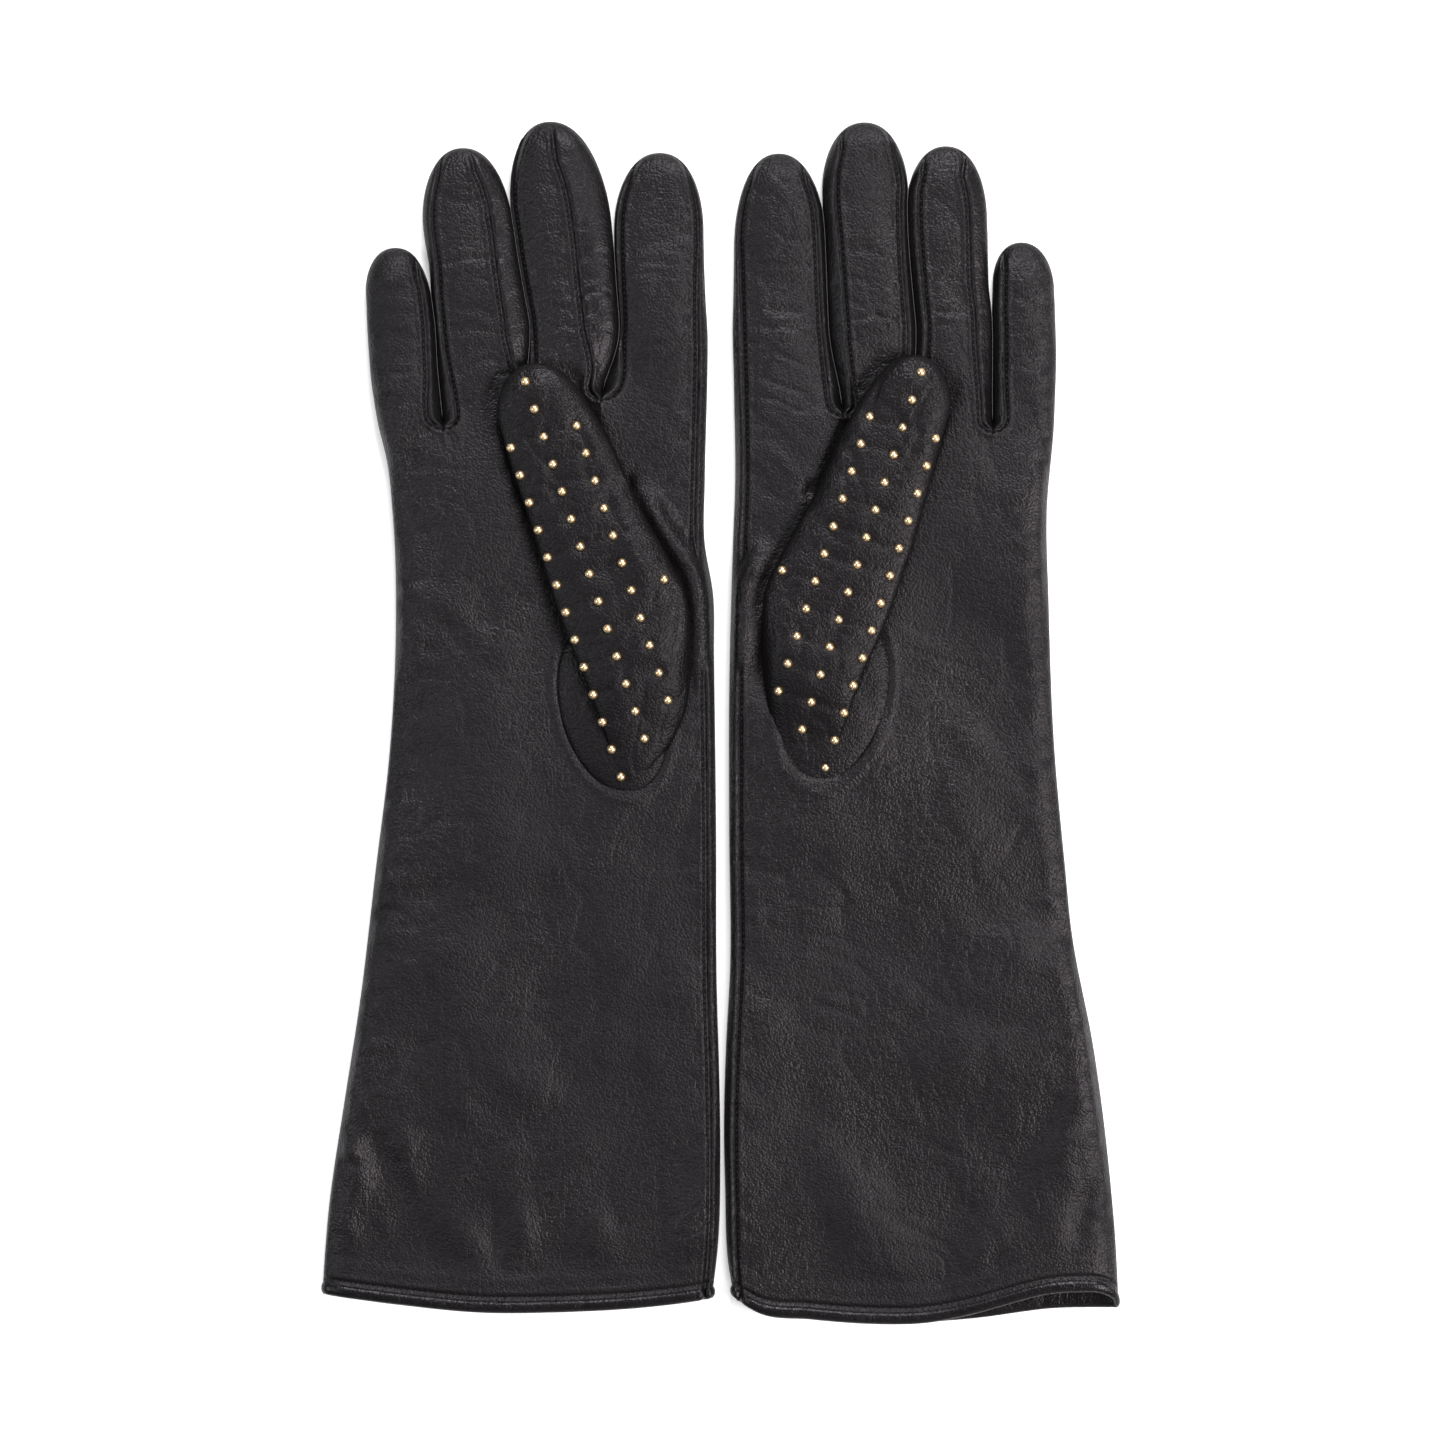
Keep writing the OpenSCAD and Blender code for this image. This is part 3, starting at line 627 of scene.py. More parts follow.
# The measures of one glove that several pieces need
class Glove:
    def __init__(self, side):
        self.side = side
        self.data = gloves[side]
        self.sign = self.data["sign"]
        self.seed = self.data["seed"]
        self.folds = [pivotPlace(side + "_" + name + "_bend") for name in fingerNames]
        self.thumb = Thumb(side)

    def innerEdge(self, b):
        return through(self.data["inner"], b)

    def outerEdge(self, b):
        return through(self.data["outer"], b)

    # Middle of the gap between two fingers, run on down the hand
    def gapLine(self, k, b):
        crotchU, crotchY, _ = self.data["crotches"][k]
        low, high = self.innerEdge(crotchY), self.outerEdge(crotchY)
        share = (crotchU - low) / (high - low)
        below = self.innerEdge(b) + share * (self.outerEdge(b) - self.innerEdge(b))
        top = skinShape["easeTop"]
        above = crotchU + (self.data["contacts"][k] - crotchU) * (b - crotchY) / (top - crotchY)
        return mix(below, above, smooth(crotchY - 12, crotchY + 8, b))

    def fingerAxis(self, g, y):
        finger = self.data["fingers"][g]
        (fu, fy), (tu, ty) = self.folds[g], finger["tip"]
        t = (y - fy) / (ty - fy)
        return fu + (tu - fu) * t + finger["bow"] * np.sin(math.pi * np.clip(t, 0, 1))

    def fingerHalf(self, g, y):
        finger = self.data["fingers"][g]
        fy, ty = self.folds[g][1], finger["tip"][1]
        share = np.clip((y - fy) / (0.5 * (ty - fy)), -1, 1)
        wide = mix(finger["half"][0], finger["half"][1], share)
        t = np.clip((ty - y) / finger["taper"], 0, 1)
        return wide * np.maximum(1 - (1 - t) ** 2, 1e-9) ** 0.45

    # Silhouette of one finger's share of the glove: (near edge, far edge)
    def edges(self, g, b):
        axis, half = self.fingerAxis(g, b), self.fingerHalf(g, b)
        near, far = axis - half, axis + half
        if g == 0:
            near = mix(self.innerEdge(b), near, smooth(100, 120, b))
        else:
            near = self.besideGap(g - 1, b)[1]
        if g == 3:
            far = mix(self.outerEdge(b), far, smooth(90, 112, b))
        else:
            far = self.besideGap(g, b)[0]
        return near, far

    def besideGap(self, k, b):
        crotchY = self.data["crotches"][k][1]
        split = crotchY + skinShape["splitAbove"]
        line = self.gapLine(k, b)
        ease = smooth(*self.data["ease"][k], b)
        rawFar = self.fingerAxis(k, b) + self.fingerHalf(k, b)
        rawNear = self.fingerAxis(k + 1, b) - self.fingerHalf(k + 1, b)
        far, near = mix(line, rawFar, ease), mix(line, rawNear, ease)
        least = skinShape["gap"] * smooth(split, split + 3, b)
        middle = (far + near) / 2
        touch = self.data["touch"][k]
        apart = smooth(touch - 6, touch + 4, b)
        far, near = mix(middle - least / 2, far, apart), mix(middle + least / 2, near, apart)
        tight = near - far < least
        far = np.where(tight, middle - least / 2, far)
        near = np.where(tight, middle + least / 2, near)
        joined = b <= split
        return np.where(joined, line, far), np.where(joined, line, near)

    # Distance of the seam from the silhouette, on each side of one finger's share
    def seamOffsets(self, g, b):
        finger = self.data["fingers"][g]
        fy, ty = self.folds[g][1], finger["tip"][1]
        share = np.clip((b - fy) / (0.5 * (ty - fy)), 0, 1)
        offsets = []
        for way, k in (("near", g - 1), ("far", g)):
            offset = mix(finger[way][0], finger[way][1], share)
            if 0 <= k <= 2:
                _, crotchY, radius = self.data["crotches"][k]
                rise = np.clip((b - crotchY) / radius, 0, 1)
                curl = radius * np.sqrt(np.maximum(1 - (1 - rise) ** 2, 0))
                offset = mix(curl, offset, smooth(crotchY + radius, fy, b))
                offset = np.where(b < crotchY + radius, curl, offset)
                offset = np.maximum(offset, 0.8)
            elif g == 0:
                offset = mix(skinShape["seamStrip"], offset, smooth(100, 120, b))
            toTip = 1.0 if finger[way][1] > 6 else mix(0.25, 1, smooth(1, 10, ty - b))
            offsets.append(np.maximum(offset * toTip, 0.05))
        near, far = self.edges(g, b)
        limit = 0.42 * (far - near)
        for k, offset in enumerate(offsets):
            isWide = finger["near"][1] > 8 and k == 0
            offsets[k] = np.minimum(offset, limit * (1.15 if isWide else 0.8))
        return offsets

    # The hem's curve carries into the rows above it and fades out towards the wrist
    def hemLift(self, u, b, top):
        low = rowPlan["hem"]
        rise = through(self.data["hem"], u) + skinShape["hemBack"] - low
        lift = rise * (1 - smooth(low, -70, b))
        if top and "openHem" in self.data:
            lift = lift + self.openHem(u, b) * self.data["openHem"]["back"]
        return lift

    # Where the front of the hem stands off the back: 1 in the middle of that stretch
    def openHem(self, u, b):
        start, full, turn, end = self.data["openHem"]["span"]
        fall = np.clip((u - turn) / (end - turn), 0, 1)
        return smooth(start, full, u) * np.sqrt(1 - fall**2) * (1 - smooth(rowPlan["hem"], -135, b))


rowPlan = {"hem": -166.5, "step": 0.95, "fineFrom": 80.0, "fine": 0.45, "fingerStep": 0.7, "tipZone": 6.0,
           "tipRows": 12}


def spread(low, high, step):
    count = max(1, int(round((high - low) / step)))
    return np.linspace(low, high, count + 1)


def rowsFor(glove, g):
    finger = glove.data["fingers"][g]
    cut, tip = finger["cut"], finger["tip"][1]
    wrist = skinShape["wrist"]
    lower = [spread(rowPlan["hem"], rowPlan["hem"] + 4, 0.4),
             spread(rowPlan["hem"] + 4, wrist, rowPlan["step"])[1:],
             spread(wrist, rowPlan["fineFrom"], rowPlan["step"])[1:],
             spread(rowPlan["fineFrom"], 88, rowPlan["fine"])[1:]]
    if cut > 88:
        lower.append(spread(88, cut, rowPlan["fine"])[1:])
    lower = np.concatenate(lower)
    start = tip - rowPlan["tipZone"]
    upper = spread(cut, start, rowPlan["fingerStep"])[1:]
    k = np.arange(rowPlan["tipRows"] - 1, 0, -1)
    near = tip - rowPlan["tipZone"] * (k / rowPlan["tipRows"]) ** 2
    return np.concatenate([lower, upper, near]), len(lower) - 1


# Columns across one finger's share: close together beside the silhouettes and the seams
def columnsFor(near, far, seamNear, seamFar, counts):
    nearCells, farCells, middleCells = counts
    width = far - near

    def side(offset, cells):
        inside = np.minimum(0.9, 0.45 * offset)
        k = np.arange(cells + 1) / cells
        run = (offset - inside)[:, None] * (k**1.6)[None, :]
        return np.concatenate([run, (offset - inside / 2)[:, None], offset[:, None]], axis=1)

    first, last = side(seamNear, nearCells), side(seamFar, farCells)
    panel = width - seamNear - seamFar
    shrink = np.clip(panel / 8, 0, 1)
    beside = np.array([0.45, 0.9, 1.4, 2.1])[None, :] * shrink[:, None]
    a = seamNear[:, None] + beside
    b = width[:, None] - (seamFar[:, None] + beside)[:, ::-1]
    t = np.arange(1, middleCells) / middleCells
    middle = a[:, -1:] + (b[:, :1] - a[:, -1:]) * t[None, :]
    across = np.concatenate([first, a, middle, b, width[:, None] - last[:, ::-1]], axis=1)
    return near[:, None] + across, first.shape[1] - 1, across.shape[1] - last.shape[1]


def backColumns(near, far):
    width = (far - near)[:, None]
    beside = np.array([0, 0.15, 0.6, 1.2, 1.6, 2.0, 3.2]) * np.minimum(1, width / 14)
    t = np.arange(1, 5) / 5
    a, b = beside, width - beside[:, ::-1]
    middle = a[:, -1:] + (b[:, :1] - a[:, -1:]) * t[None, :]
    return near[:, None] + np.concatenate([a, middle, b], axis=1)


# Height of the glove as it lies, from the hem to the fingers
def lieHeight(b):
    return through(skinShape["height"], b)


# Surface of one finger's share: the front if top, else the back
def heights(glove, g, u, b, near, far, top):
    full = lieHeight(b)
    middle = 0.42 * full
    inner, outer = glove.innerEdge(b), glove.outerEdge(b)
    inner, outer = np.minimum(inner, near), np.maximum(outer, far)
    edge = np.clip(np.minimum(u - inner, outer - u) / skinShape["edgeRound"], 0, 1)
    palmShape = np.sqrt(np.maximum(1 - (1 - edge) ** 2, 0))
    x = np.clip((2 * u - near - far) / np.maximum(far - near, 1e-6), -1, 1)
    power = 2.7 if top else 5.0
    fingerShape = np.sqrt(np.maximum(1 - np.abs(x) ** power, 0))
    # the palm turns into a finger at once beside a gap, and slowly in between
    feet = [glove.data["crotches"][k][1] for k in (g - 1, g) if 0 <= k <= 2]
    slow = smooth(min(feet) - 12, max(feet) + 18, b)
    sharp = [slow, slow]
    for way, k in enumerate((g - 1, g)):
        if 0 <= k <= 2:
            crotchY = glove.data["crotches"][k][1]
            sharp[way] = smooth(crotchY - 0.5, crotchY + skinShape["splitAbove"], b)
    share = mix(slow, np.where(x < 0, sharp[0], sharp[1]), np.abs(x) ** 3)
    shape = mix(palmShape, fingerShape, share)
    tip = glove.data["fingers"][g]["tip"][1]
    t = np.clip((tip - b) / 10, 0, 1)
    ending = np.maximum(1 - (1 - t) ** 2, 0) ** 0.5
    if top:
        return middle + (full - middle) * shape * ending, x, share
    return middle - middle * shape * ending, x, share


# Depths in mm: long swells, soft creases, puckers at the two sides, and what the thumb does to the palm
frontForm = {
    "swell": 0.75, "ripple": 0.28, "drape": 1.3, "wander": 3.5, "crease": 0.32, "fineCrease": 0.18,
    "outerPucker": 0.6, "innerPucker": 0.3, "pressed": -0.9, "give": 0.75, "thumbRim": 0.42,
}


# Wrinkles, creases and pressed places of the front
def frontRelief(glove, g, u, y, x, share, fromHem):
    form = frontForm
    data, seed = glove.data, glove.seed
    inner, outer = glove.innerEdge(y), glove.outerEdge(y)
    fromOuter = np.maximum(outer - u, 0)
    fromInner = np.maximum(u - inner, 0)
    relief = form["swell"] * waves(u / 23, y / 30, seed)
    relief += form["ripple"] * waves((u + 0.4 * y) / 10, (y - 0.3 * u) / 13, seed + 1)
    relief += form["drape"] * waves((u - 0.35 * y) / 36, (y + 0.5 * u) / 48, seed + 13) * (1 - share)
    driftU = u + form["wander"] * waves(u / 12, y / 12, seed + 14)
    driftY = y + form["wander"] * waves(u / 12 + 5, y / 12 + 5, seed + 15)
    worn = smooth(-0.2, 0.6, waves(u / 30, y / 26, seed + 2))
    acrossHand = creases((driftU - 0.2 * driftY) / 17, (driftY + 0.3 * driftU) / 7, seed + 3, 0.17)
    slanted = creases((driftU + 0.5 * driftY) / 9, (driftY - 0.5 * driftU) / 15, seed + 4, 0.17)
    relief -= form["crease"] * worn * acrossHand
    relief -= form["fineCrease"] * (1 - 0.5 * worn) * slanted
    # puckers run in from the folded little-finger side, and small ones from the index-side seam
    outerPucker = waves(y / 3.4, fromOuter / 14, seed + 5)
    innerPucker = waves(y / 2.9, fromInner / 9, seed + 6)
    relief += form["outerPucker"] * outerPucker * np.exp(-((fromOuter - 3) / 6.5) ** 2)
    relief += form["innerPucker"] * innerPucker * np.exp(-((fromInner - 5) / 3.5) ** 2)
    for (au, ay), (bu, by), width, depth in data["folds"]:
        away, along = distanceTo([(au, ay), (bu, by)], u, y)
        relief += depth * np.exp(-(away / width) ** 2) * (0.4 + 0.6 * np.sin(math.pi * np.clip(along, 0, 1)))
    # the creases where each finger bends
    across = np.clip(1 - np.abs(x) ** 4, 0, 1) * share
    for n, (place, strength) in enumerate(data["fingers"][g]["creases"]):
        wander = place + 1.5 * waves(u / 9.0, n + g * 3.0, seed + 7) + 0.7 * waves(u / 2.6, n * 2.0, seed + 8)
        d = y - wander - 0.05 * (n - 1) * (u - data["fingers"][g]["tip"][0])
        thin = 0.1 + 0.9 * smooth(-0.5, 0.7, waves(u / 6.0, n * 1.7 + g * 2.3, seed + 9))
        bulge = 0.16 * np.exp(-((d - 1.9) / 1.5) ** 2) + 0.12 * np.exp(-((d + 2.0) / 1.5) ** 2)
        relief += strength * across * (bulge - 0.42 * thin * np.exp(-(d / 0.5) ** 2))
    under, ring = glove.thumb.cover(u, y)
    pressed, give = form["pressed"], form["give"]
    relief = mix(relief, pressed, under) + form["thumbRim"] * ring
    calm = np.clip(1 - np.abs(x) ** 8, 0, 1) if share.max() > 0 else 1
    calm = mix(smooth(0, 2.5, np.minimum(fromInner, fromOuter)), calm, share)
    # no place sinks far below the pressed level, so that the lining stays covered
    sunken = pressed - give * (1 - np.exp((relief - pressed) / give))
    relief = np.where(relief < pressed, sunken, relief)
    # near the hem the leather is pressed flat, with a sunk row of stitches above the binding
    relief = relief * calm * mix(0.3, 1, smooth(2, 16, fromHem))
    sunk = 0.42 * np.exp(-((fromHem - 1.6) / 0.5) ** 2)
    puffed = 0.3 * np.exp(-((fromHem - 0.5) / 0.5) ** 2) + 0.25 * np.exp(-((fromHem - 3.0) / 0.9) ** 2)
    band = 0.3 * (1 - smooth(6.4, 8.6, fromHem))
    return relief + puffed + band - sunk


# The roll of palm leather that the folded thumb pushes up along the index side
def rollHeight(glove, u, y):
    away, along = distanceTo(glove.data["roll"], u, y)
    width = 3.1 + 0.8 * smooth(0.1, 0.6, along)
    height = glove.data["rollHeight"] * smooth(0, 0.2, along) * (1 - smooth(0.7, 1, along))
    notchU, notchY = glove.data["notch"]
    pit = 1.6 * np.exp(-(np.hypot((u - notchU) / 1.5, (y - notchY) / 2.4)) ** 2)
    return height * np.exp(-(away / width) ** 2.2) - pit


def seamCurves(glove):
    chains = []
    for g in range(4):
        low = rowPlan["hem"] if g == 0 else glove.data["crotches"][g - 1][1]
        tip = glove.data["fingers"][g]["tip"][1]
        for way, start in (("near", low), ("far", glove.data["crotches"][min(g, 2)][1])):
            if way == "far" and g == 3:
                continue
            y = np.concatenate([spread(start, tip - 8, 0.25), spread(tip - 8, tip - 2.2, 0.1)[1:]])
            near, far = glove.edges(g, y)
            offsets = glove.seamOffsets(g, y)
            if way == "near":
                u = near + offsets[0]
            else:
                u = far - offsets[1]
            if way == "far" or g > 0:
                # the seams of two fingers meet at the foot of the gap
                crotch = glove.data["crotches"][g - 1 if way == "near" else g]
                rise = np.clip((y - crotch[1]) / crotch[2], 0, 1)
                curl = crotch[2] * np.sqrt(np.maximum(1 - (1 - rise) ** 2, 0))
                low = y < crotch[1] + crotch[2]
                u = np.where(low, near + curl if way == "near" else far - curl, u)
            chains.append({"finger": g, "way": way, "u": u, "y": y})
    return chains


def grooveDepth(distance):
    shape = skinShape
    cutIn = shape["groove"] * np.exp(-(distance / shape["grooveWidth"]) ** 2)
    return shape["puff"] * np.exp(-((distance - shape["puffAt"]) / 0.55) ** 2) - cutIn


# The seams of one finger's share, for asking how far a place lies from them
def seamTree(chains, g):
    own = [chain for chain in chains if chain["finger"] == g]
    tree = kdtree.KDTree(sum(len(chain["u"]) for chain in own))
    n = 0
    for chain in own:
        for u, y in zip(chain["u"], chain["y"]):
            tree.insert((u, y, 0), n)
            n += 1
    tree.balance()
    return tree


def frontHeights(glove, g, u, b, y, near, far, tree):
    z, x, share = heights(glove, g, u, b, near, far, True)
    toTip = smooth(0, 7, glove.data["fingers"][g]["tip"][1] - b)
    z = z + frontRelief(glove, g, u, y, x, share, b - rowPlan["hem"]) * toTip
    if "openHem" in glove.data:
        z = z + glove.openHem(u, b) * glove.data["openHem"]["rise"]
    z = z + rollHeight(glove, u, y) * smooth(0, 1.6, u - near)
    fromSeam = [tree.find((p, q, 0))[2] for p, q in zip(u.ravel(), y.ravel())]
    fromSeam = np.array(fromSeam).reshape(u.shape)
    # the folded thumb hides a stretch of the side seam
    covered = smooth(12, 18, y) * (1 - smooth(44, 50, y)) * (1 if g == 0 else 0)
    atEdge = smooth(0, 0.5, np.minimum(u - near, far - u))
    besideSeam = np.exp(-((fromSeam - 1.7) / 1.1) ** 2)
    gathers = 0.2 * waves(y / 1.9, u / 5, glove.seed + 12) * besideSeam
    return z + (grooveDepth(fromSeam) + gathers) * (1 - covered) * mix(1, atEdge, share) * toTip


def backHeights(glove, g, u, b, y, near, far, seams):
    z, x, share = heights(glove, g, u, b, near, far, False)
    toTip = smooth(0, 7, glove.data["fingers"][g]["tip"][1] - b)
    column = np.arange(u.shape[1])
    inSeam = sum(np.exp(-((column - seam) / 0.7) ** 2) for seam in seams)
    soft = 0.22 * (waves(u / 16, y / 18, glove.seed + 20) + 0.6)
    soft = soft * np.clip(1 - np.abs(x) ** 6, 0, 1)
    raised = 0.75 * (1 - smooth(3, 14, b - rowPlan["hem"]))
    return np.maximum(z + (0.3 * inSeam[None, :] * share + soft) * toTip + raised, 0.05)


def columnCounts(g, finger):
    nearCells = 14 if finger["near"][1] > 8 else 8 if finger["near"][1] > 5 else 6
    farCells = 7 if finger["far"][1] > 4 else 5
    return nearCells, farCells, 22 if g < 3 else 15


# A grid of points for the front and the back of each finger's share, and a point to close each fingertip
def skinGrids(glove, chains):
    places, grids, total = [], {}, 0
    for g, finger in enumerate(glove.data["fingers"]):
        rows, cutRow = rowsFor(glove, g)
        near, far = glove.edges(g, rows)
        seamNear, seamFar = glove.seamOffsets(g, rows)
        tree = seamTree(chains, g)
        for top in (True, False):
            if top:
                u, left, right = columnsFor(near, far, seamNear, seamFar, columnCounts(g, finger))
            else:
                u = backColumns(near, far)
                left, right = 4, u.shape[1] - 5
            b = np.repeat(rows[:, None], u.shape[1], axis=1)
            y = b + glove.hemLift(u, b, top)
            if top:
                z = frontHeights(glove, g, u, b, y, near[:, None], far[:, None], tree)
            else:
                z = backHeights(glove, g, u, b, y, near[:, None], far[:, None], (left, right))
            index = total + np.arange(u.size).reshape(u.shape)
            total += u.size
            places.append(np.stack([glove.sign * u, y, z], axis=-1).reshape(-1, 3))
            grids[(g, top)] = (index, rows, cutRow, left, right)
    tips = []
    for finger in glove.data["fingers"]:
        tipU, tipY = finger["tip"]
        places.append(np.array([[glove.sign * tipU, tipY + 0.03, 0.42 * lieHeight(tipY)]]))
        tips.append(total)
        total += 1
    return np.concatenate(places), grids, tips


# Which panel each stretch of a grid belongs to, and which panels meet at the fingertip
def panelStretches(glove, g, top, grid):
    index, rows, cutRow, left, right = grid
    name, crotches = fingerNames[g], glove.data["crotches"]
    wrist = int(np.argmin(np.abs(rows - skinShape["wrist"])))
    panel, sleeve = ("palm_panel", "sleeve_front") if top else ("back_panel", "sleeve_back")
    front = name + ("_front" if top else "_back")
    stretches = [
        ("sleeve_back" if g == 0 else sleeve, index[:wrist + 1, :left + 1]),
        (sleeve, index[:wrist + 1, left:]),
        (panel, index[wrist:cutRow + 1, left:right + 1]),
    ]
    if g > 0:
        foot = int(np.searchsorted(rows, crotches[g - 1][1]))
        strip = fingerNames[g - 1] + "_" + name + "_fourchette"
        stretches.append((panel, index[wrist:foot + 1, :left + 1]))
        stretches.append((strip, index[foot:cutRow + 1, :left + 1]))
    else:
        stretches.append(("back_panel", index[wrist:cutRow + 1, :left + 1]))
    if g < 3:
        foot = int(np.searchsorted(rows, crotches[g][1]))
        strip = name + "_" + fingerNames[g + 1] + "_fourchette"
        stretches.append((panel, index[wrist:foot + 1, right:]))
        stretches.append((strip, index[foot:cutRow + 1, right:]))
    else:
        stretches.append((panel, index[wrist:cutRow + 1, right:]))
    leftSide = name + ("_back" if g == 0 else "_fourchette")
    rightSide = front if g == 3 else name + "_fourchette"
    stretches.append((front, index[cutRow:, left:right + 1]))
    stretches.append((leftSide, index[cutRow:, :left + 1]))
    stretches.append((rightSide, index[cutRow:, right:]))
    edge = index[-1]
    ends = [(leftSide, edge[:left + 1]), (front, edge[left:right + 1]), (rightSide, edge[right:])]
    return stretches, ends


def buildGlove(side):
    glove = Glove(side)
    chains = seamCurves(glove)
    places, grids, tips = skinGrids(glove, chains)
    blocks, tags = [], []
    for g in range(4):
        for top in (True, False):
            flip = (glove.sign < 0) == top
            stretches, ends = panelStretches(glove, g, top, grids[(g, top)])
            for tag, index in stretches:
                if min(index.shape) > 1:
                    blocks.append(gridFaces(index, flip))
                    tags.append(tag)
            for tag, edge in ends:
                fan = np.stack([edge[:-1], edge[1:], np.full(len(edge) - 1, tips[g])], axis=-1)
                blocks.append(fan[:, ::-1] if flip else fan)
                tags.append(tag)
    hemRows = [np.concatenate([grids[(g, top)][0][0] for g in range(4)])[:, None] for top in (True, False)]
    places, merged = mergeTwins(places, blocks + hemRows)
    blocks, hemFront, hemBack = merged[:-2], merged[-2].ravel(), merged[-1].ravel()
    return {"glove": glove, "places": places, "normals": vertexNormals(places, blocks), "blocks": blocks,
            "tags": tags, "hemFront": hemFront, "hemBack": hemBack, "chains": chains}


def wristBlend(piece):
    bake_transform(piece)


def fingerBlend(piece):
    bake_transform(piece)


def dressGlove(side, skin):
    for tag in dict.fromkeys(skin["tags"]):
        faces = [block for block, t in zip(skin["blocks"], skin["tags"]) if t == tag]
        nodeName = side + "_" + tag
        piece = makePiece(side + "_" + tag + "_leather", skin["places"], skin["normals"], faces,
                          skinShape["thickness"], slotOf[nodeName])
        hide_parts(nodeName)
        part = tag.split("_")
        if tag in ("palm_panel", "back_panel", "sleeve_front", "sleeve_back"):
            wristBlend(piece)
        elif len(part) == 2:
            fingerBlend(piece)
        else:
            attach(piece, side + "_hand")


skins = {}
for gloveSide in gloves:
    skins[gloveSide] = buildGlove(gloveSide)
    dressGlove(gloveSide, skins[gloveSide])
    print(gloveSide, "glove leather cut:", len(skins[gloveSide]["places"]), "points")


# Middles of the studs of a CAD node, in mm
def studCentres(nodeName):
    co = np.array([v.co for v in cadNodes[nodeName].data.vertices]) / mm
    heads = co[co[:, 2] > thumbShape["top"] + 0.35]
    centres = []
    while len(heads):
        close = np.hypot(heads[:, 0] - heads[0, 0], heads[:, 1] - heads[0, 1]) < 3.2
        group = heads[close]
        centres.append((group[:, :2].min(0) + group[:, :2].max(0)) / 2)
        heads = heads[~close]
    return centres


def thumbRelief(thumb, x, s, across, seed):
    relief = 0.7 * waves(x / 12, s / 19, seed) + 0.12 * waves(x / 5, s / 6, seed + 1)
    # the leather creases between the rows of studs
    lean = s - 0.32 * x
    worn = smooth(-0.5, 0.3, waves(x / 12, s / 14, seed + 3))
    relief -= 0.42 * creases(x / 13, lean / 7.5, seed + 2, 0.15) * worn
    relief -= 0.3 * creases((x + 0.5 * s) / 6.5, s / 13, seed + 4, 0.16)
    # small gathers down the side that the palm pushes against
    beside = np.exp(-((across + 0.78) / 0.18) ** 2)
    relief += 0.45 * waves(s / 2.6, x / 9, seed + 5) * beside * smooth(8, 30, s)
    low, tip = thumb.data["near"][0][0], thumb.data["tip"][1]
    return relief * np.clip(1 - np.abs(across) ** 8, 0, 1) * smooth(0, 6, tip - s) * smooth(0, 5, s - low)


# Spans in mm between two studs that a crease may join, and how steep it may run
studCrease = {"least": 7.5, "most": 10.5, "slope": 0.5, "width": 0.6}


# The leather is drawn in round each stud, with creases from stud to stud across the thumb
def studDimples(side, x, y):
    centres = np.array(studCentres(side + "_thumb_studs") + studCentres(side + "_root_studs"))
    away = np.hypot(x[..., None] - centres[:, 0], y[..., None] - centres[:, 1]).min(axis=-1)
    relief = 0.05 * np.exp(-((away - 3.2) / 0.9) ** 2) - 0.45 * np.exp(-(away / 2.0) ** 2)
    for n, first in enumerate(centres):
        for second in centres[n + 1:]:
            span = np.hypot(*(second - first))
            steep = abs(second[1] - first[1]) > studCrease["slope"] * span
            if steep or not studCrease["least"] < span < studCrease["most"]:
                continue
            wander = 0.8 * waves(x / 3.1, y / 3.1, n)
            line, along = distanceTo([first, second], x, y + wander)
            deep = 0.12 + 0.3 * abs(math.sin(2.4 * n + 1))
            inside = (along > 0) & (along < 1)
            relief = relief - deep * np.exp(-(line / studCrease["width"]) ** 2) * inside
    return relief


def buildThumb(side):
    glove = skins[side]["glove"]
    thumb, shape, seed = glove.thumb, thumbShape, glove.seed + 40
    low, tip = thumb.data["near"][0][0], thumb.data["tip"][1]
    k = np.arange(1, 12) / 12
    rows = np.concatenate([low + 5 * k**2, spread(low + 5, tip - 6, shape["rows"]), tip - 6 * k[::-1] ** 2])
    near, far = thumb.outline(rows)
    places, blocks, total = [], [], 0
    grids = {}
    for top in (True, False):
        t = np.linspace(-1, 1, shape["columns"] + 1 if top else 15)
        across = np.sin(t * math.pi / 2) * 0.55 + t * 0.45 if top else np.sin(t * math.pi / 2)
        x = near[:, None] + (far - near)[:, None] * (across[None, :] + 1) / 2
        s = np.repeat(rows[:, None], len(across), 1)
        z, place = thumb.height(x, s, top)
        if top:
            z = z + thumbRelief(thumb, x, s, place, seed)
        u, y = thumb.toPlan(x, s)
        if top:
            z = z + studDimples(side, thumb.sign * u, y) * np.clip(1 - np.abs(place) ** 6, 0, 1)
        grids[top] = total + np.arange(x.size).reshape(x.shape)
        total += x.size
        places.append(np.stack([thumb.sign * u, y, z], axis=-1).reshape(-1, 3))
    for row, s in ((0, low - 0.05), (-1, tip + 0.03)):
        n, f = thumb.outline(np.array([s]))
        u, y = thumb.toPlan((n[0] + f[0]) / 2, s)
        z = thumb.height(np.array([(n[0] + f[0]) / 2]), np.array([s]), True)[0][0]
        places.append(np.array([[thumb.sign * u, y, z]]))
        for top in (True, False):
            edge = grids[top][row]
            fan = np.stack([edge[:-1], edge[1:], np.full(len(edge) - 1, total)], axis=-1)
            blocks.append(fan[:, ::-1] if (thumb.sign < 0) == (top == (row == -1)) else fan)
        total += 1
    for top in (True, False):
        blocks.append(gridFaces(grids[top], (thumb.sign < 0) == top))
    places, blocks = mergeTwins(np.concatenate(places), blocks)
    normals = vertexNormals(places, blocks)
    piece = makePiece(side + "_thumb_leather", places, normals, blocks, shape["thickness"], "thumb_leather")
    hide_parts(side + "_thumb_outer", side + "_thumb_inner")
    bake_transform(piece)
    return {"places": places, "blocks": blocks}


